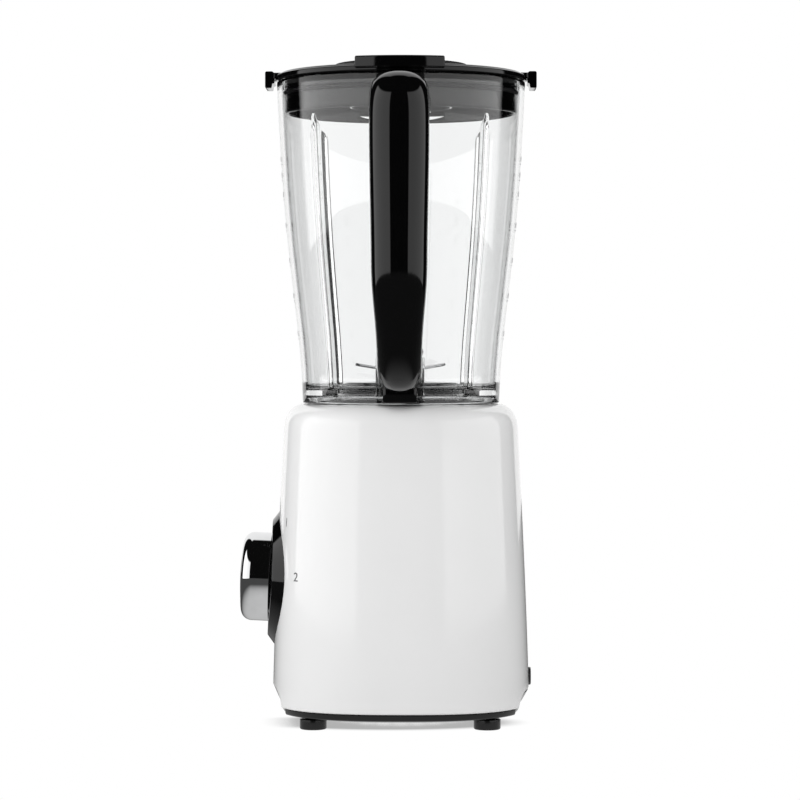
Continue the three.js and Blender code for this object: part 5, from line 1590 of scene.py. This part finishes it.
def make_world(ambient):
    """White to the camera and through clear plastic. Mirrors see a dark room with a white wall behind the blender and a
    soft panel at each side, which brightens toward its far edge; matt surfaces get an even fill."""
    world = bpy.data.worlds.new("studio")
    bpy.context.scene.world = world
    world.use_nodes = True
    nodes, links = world.node_tree.nodes, world.node_tree.links
    background = nodes["Background"]
    path = nodes.new("ShaderNodeLightPath")
    place = nodes.new("ShaderNodeTexCoord")
    split = nodes.new("ShaderNodeSeparateXYZ")
    links.new(place.outputs["Generated"], split.inputs["Vector"])
    x, y, z = split.outputs

    def times(first, second):
        return math_node(nodes, links, "MULTIPLY", first, second)

    def plus(first, second):
        return math_node(nodes, links, "ADD", first, second)

    aside = times(math_node(nodes, links, "ABSOLUTE", x), 1.5)
    wall = smooth_range(nodes, links, math_node(nodes, links, "SUBTRACT", y, aside), -0.04, 0.06)
    wall = times(wall, smooth_range(nodes, links, z, 0.90, 0.94, 1.0, 0.0))
    # Azimuth from straight ahead, in degrees, to either side.
    azimuth = times(
        math_node(nodes, links, "ARCTAN2", math_node(nodes, links, "ABSOLUTE", x), times(y, -1.0)), 180 / math.pi
    )
    panel = times(
        smooth_range(nodes, links, azimuth, 21.0, 23.0), smooth_range(nodes, links, azimuth, 106.0, 110.0, 1.0, 0.0)
    )
    panel = times(panel, smooth_range(nodes, links, z, 0.60, 0.66, 1.0, 0.0))
    panel = times(panel, smooth_range(nodes, links, azimuth, 22.0, 108.0, 1.1, 1.5))
    panel = times(panel, smooth_range(nodes, links, x, -0.1, 0.1, 1.05, 0.86))
    mirror = plus(plus(times(wall, 0.97), panel), 0.004)
    bounced = math_node(nodes, links, "GREATER_THAN", path.outputs["Glossy Depth"], 0.5)
    straight = math_node(nodes, links, "MAXIMUM", path.outputs["Is Camera Ray"], path.outputs["Is Transmission Ray"])

    def choose(share, value, other):
        return plus(times(share, value), times(math_node(nodes, links, "SUBTRACT", 1.0, share), other))

    matt = math_node(nodes, links, "GREATER_THAN", path.outputs["Diffuse Depth"], 0.5)
    level = choose(matt, ambient, choose(bounced, mirror, choose(straight, 1.0, ambient)))
    links.new(level, background.inputs["Strength"])
    background.inputs["Color"].default_value = (1, 1, 1, 1)


def make_floor():
    """A pale floor. To the camera it is white, with a soft shadow where the blender covers it; mirrors see it fall off
    into a dark room; matt surfaces get its plain bounce."""
    material = bpy.data.materials.new("floor_pale")
    material.use_nodes = True
    nodes, links = material.node_tree.nodes, material.node_tree.links
    nodes.clear()
    out = nodes.new("ShaderNodeOutputMaterial")
    place = nodes.new("ShaderNodeTexCoord")
    path = nodes.new("ShaderNodeLightPath")

    def distance(scale):
        stretch = nodes.new("ShaderNodeVectorMath")
        stretch.operation = "MULTIPLY"
        stretch.inputs[1].default_value = scale
        links.new(place.outputs["Object"], stretch.inputs[0])
        length = nodes.new("ShaderNodeVectorMath")
        length.operation = "LENGTH"
        links.new(stretch.outputs["Vector"], length.inputs[0])
        return length.outputs["Value"]

    seen = math_node(nodes, links, "MAXIMUM", path.outputs["Is Camera Ray"], path.outputs["Is Transmission Ray"])
    bounced = math_node(nodes, links, "GREATER_THAN", path.outputs["Glossy Depth"], 0.5)
    straight = math_node(nodes, links, "MULTIPLY", seen, math_node(nodes, links, "SUBTRACT", 1.0, bounced))

    cover = nodes.new("ShaderNodeAmbientOcclusion")
    cover.samples = 8
    cover.inputs["Distance"].default_value = 0.024
    open_sky = smooth_range(nodes, links, cover.outputs["AO"], 0.0, 0.75, 0.42, 1.0)
    edge = smooth_range(nodes, links, distance((1 / 0.086, 1 / 0.043, 1)), 0.52, 1.0)
    shadow = math_node(nodes, links, "MAXIMUM", open_sky, edge)
    lit = nodes.new("ShaderNodeEmission")
    links.new(shadow, lit.inputs["Strength"])

    matt = nodes.new("ShaderNodeBsdfDiffuse")
    matt.inputs["Color"].default_value = (0.62, 0.62, 0.62, 1)
    dim = nodes.new("ShaderNodeEmission")
    fall = smooth_range(nodes, links, distance((1, 1, 1)), 0.09, 0.30, 0.60, 0.07)
    links.new(fall, dim.inputs["Strength"])
    mirror = nodes.new("ShaderNodeMixShader")
    links.new(bounced, mirror.inputs["Fac"])
    links.new(matt.outputs["BSDF"], mirror.inputs[1])
    links.new(dim.outputs["Emission"], mirror.inputs[2])
    total = nodes.new("ShaderNodeMixShader")
    links.new(straight, total.inputs["Fac"])
    links.new(mirror.outputs["Shader"], total.inputs[1])
    links.new(lit.outputs["Emission"], total.inputs[2])
    links.new(total.outputs["Shader"], out.inputs["Surface"])
    r = np.concatenate([[0], np.linspace(0.05, 3.0, 24)])
    a = round_angles(64)[:, None]
    rows = np.stack([r * np.cos(a), r * np.sin(a), np.zeros((64, len(r)))], -1)
    mesh = mesh_of("floor", [((rows - AXIS) / MM, True, False)])
    floor = bpy.data.objects.new("floor", mesh)
    bpy.context.scene.collection.objects.link(floor)
    mesh.materials.append(material)
    if mesh.polygons[0].normal.z < 0:
        mesh.flip_normals()


CAMERA_AWAY, CAMERA_ASIDE, CAMERA_HIGH = 1.780, 0.0174, 0.2161
CAMERA_DIP = math.atan(0.015)
TOP_PANEL = 1.6


class COUNTERBLENDER_OT_stage(bpy.types.Operator):
    """Sets the floor, the soft side panels and the camera"""

    bl_idname = "counterblender.stage"
    bl_label = "Stage"
    bl_options = {"REGISTER", "UNDO"}

    def execute(self, context):
        levels = context.scene.blender_stage
        scene = context.scene
        scene.view_settings.view_transform = "Standard"
        make_world(levels.ambient)
        make_floor()
        add_panel("left_panel", (-0.75, -1.85), (-1.24, 0.10), 2.0, levels.side_light * 1.22)
        add_panel("right_panel", (0.75, -1.85), (1.24, 0.10), 2.0, levels.side_light * 0.70)
        top = bpy.data.lights.new("top_panel", "AREA")
        top.shape, top.size, top.size_y = "RECTANGLE", TOP_PANEL, TOP_PANEL
        top.energy = levels.top_light * math.pi * TOP_PANEL**2
        overhead = bpy.data.objects.new("top_panel", top)
        scene.collection.objects.link(overhead)
        overhead.location = (0, 0.1, 1.7)
        overhead.visible_camera = overhead.visible_glossy = overhead.visible_transmission = False
        data = bpy.data.cameras.new("camera")
        data.lens, data.sensor_width, data.clip_start, data.clip_end = 135.0, 36.0, 0.05, 50.0
        camera = bpy.data.objects.new("camera", data)
        scene.collection.objects.link(camera)
        camera.location = (AXIS[0] + CAMERA_ASIDE, AXIS[1] - CAMERA_AWAY, CAMERA_HIGH)
        camera.rotation_euler = (math.pi / 2 - CAMERA_DIP, 0, math.atan(0.018 / CAMERA_AWAY))
        scene.camera = camera
        return {"FINISHED"}


OPERATORS = (
    COUNTERBLENDER_OT_stage,
    COUNTERBLENDER_OT_shell,
    COUNTERBLENDER_OT_base_plate,
    COUNTERBLENDER_OT_gland,
    COUNTERBLENDER_OT_dial,
    COUNTERBLENDER_OT_dial_print,
    COUNTERBLENDER_OT_drive,
    COUNTERBLENDER_OT_jug,
    COUNTERBLENDER_OT_blade_unit,
    COUNTERBLENDER_OT_blades,
    COUNTERBLENDER_OT_handle,
    COUNTERBLENDER_OT_lid,
    COUNTERBLENDER_OT_cap,
    COUNTERBLENDER_OT_works,
)


class COUNTERBLENDER_PT_builder(bpy.types.Panel):
    """Lists the blender's pieces"""

    bl_idname = "COUNTERBLENDER_PT_builder"
    bl_label = "Countertop Blender"
    bl_space_type = "VIEW_3D"
    bl_region_type = "UI"
    bl_category = "Blender"

    def draw(self, context):
        layout = self.layout
        for settings in (context.scene.blender_finishes, context.scene.blender_sizes, context.scene.blender_stage):
            box = layout.box()
            for key in settings.__annotations__:
                box.prop(settings, key)
        for operator in OPERATORS:
            layout.operator(operator.bl_idname)


GROUPS = {"blender_finishes": BlenderFinishes, "blender_sizes": BlenderSizes, "blender_stage": BlenderStage}
CLASSES = (*GROUPS.values(), *OPERATORS, COUNTERBLENDER_PT_builder)


def register():
    """Adds the settings, the operators and the panel."""
    for cls in CLASSES:
        bpy.utils.register_class(cls)
    for name, group in GROUPS.items():
        setattr(bpy.types.Scene, name, bpy.props.PointerProperty(type=group))


def unregister():
    """Takes the panel, the operators and the settings away again."""
    for name in GROUPS:
        delattr(bpy.types.Scene, name)
    for cls in reversed(CLASSES):
        bpy.utils.unregister_class(cls)


def main():
    """Builds every piece in order."""
    register()
    for operator in OPERATORS:
        module, name = operator.bl_idname.split(".")
        getattr(getattr(bpy.ops, module), name)()


if __name__ == "__main__":
    main()
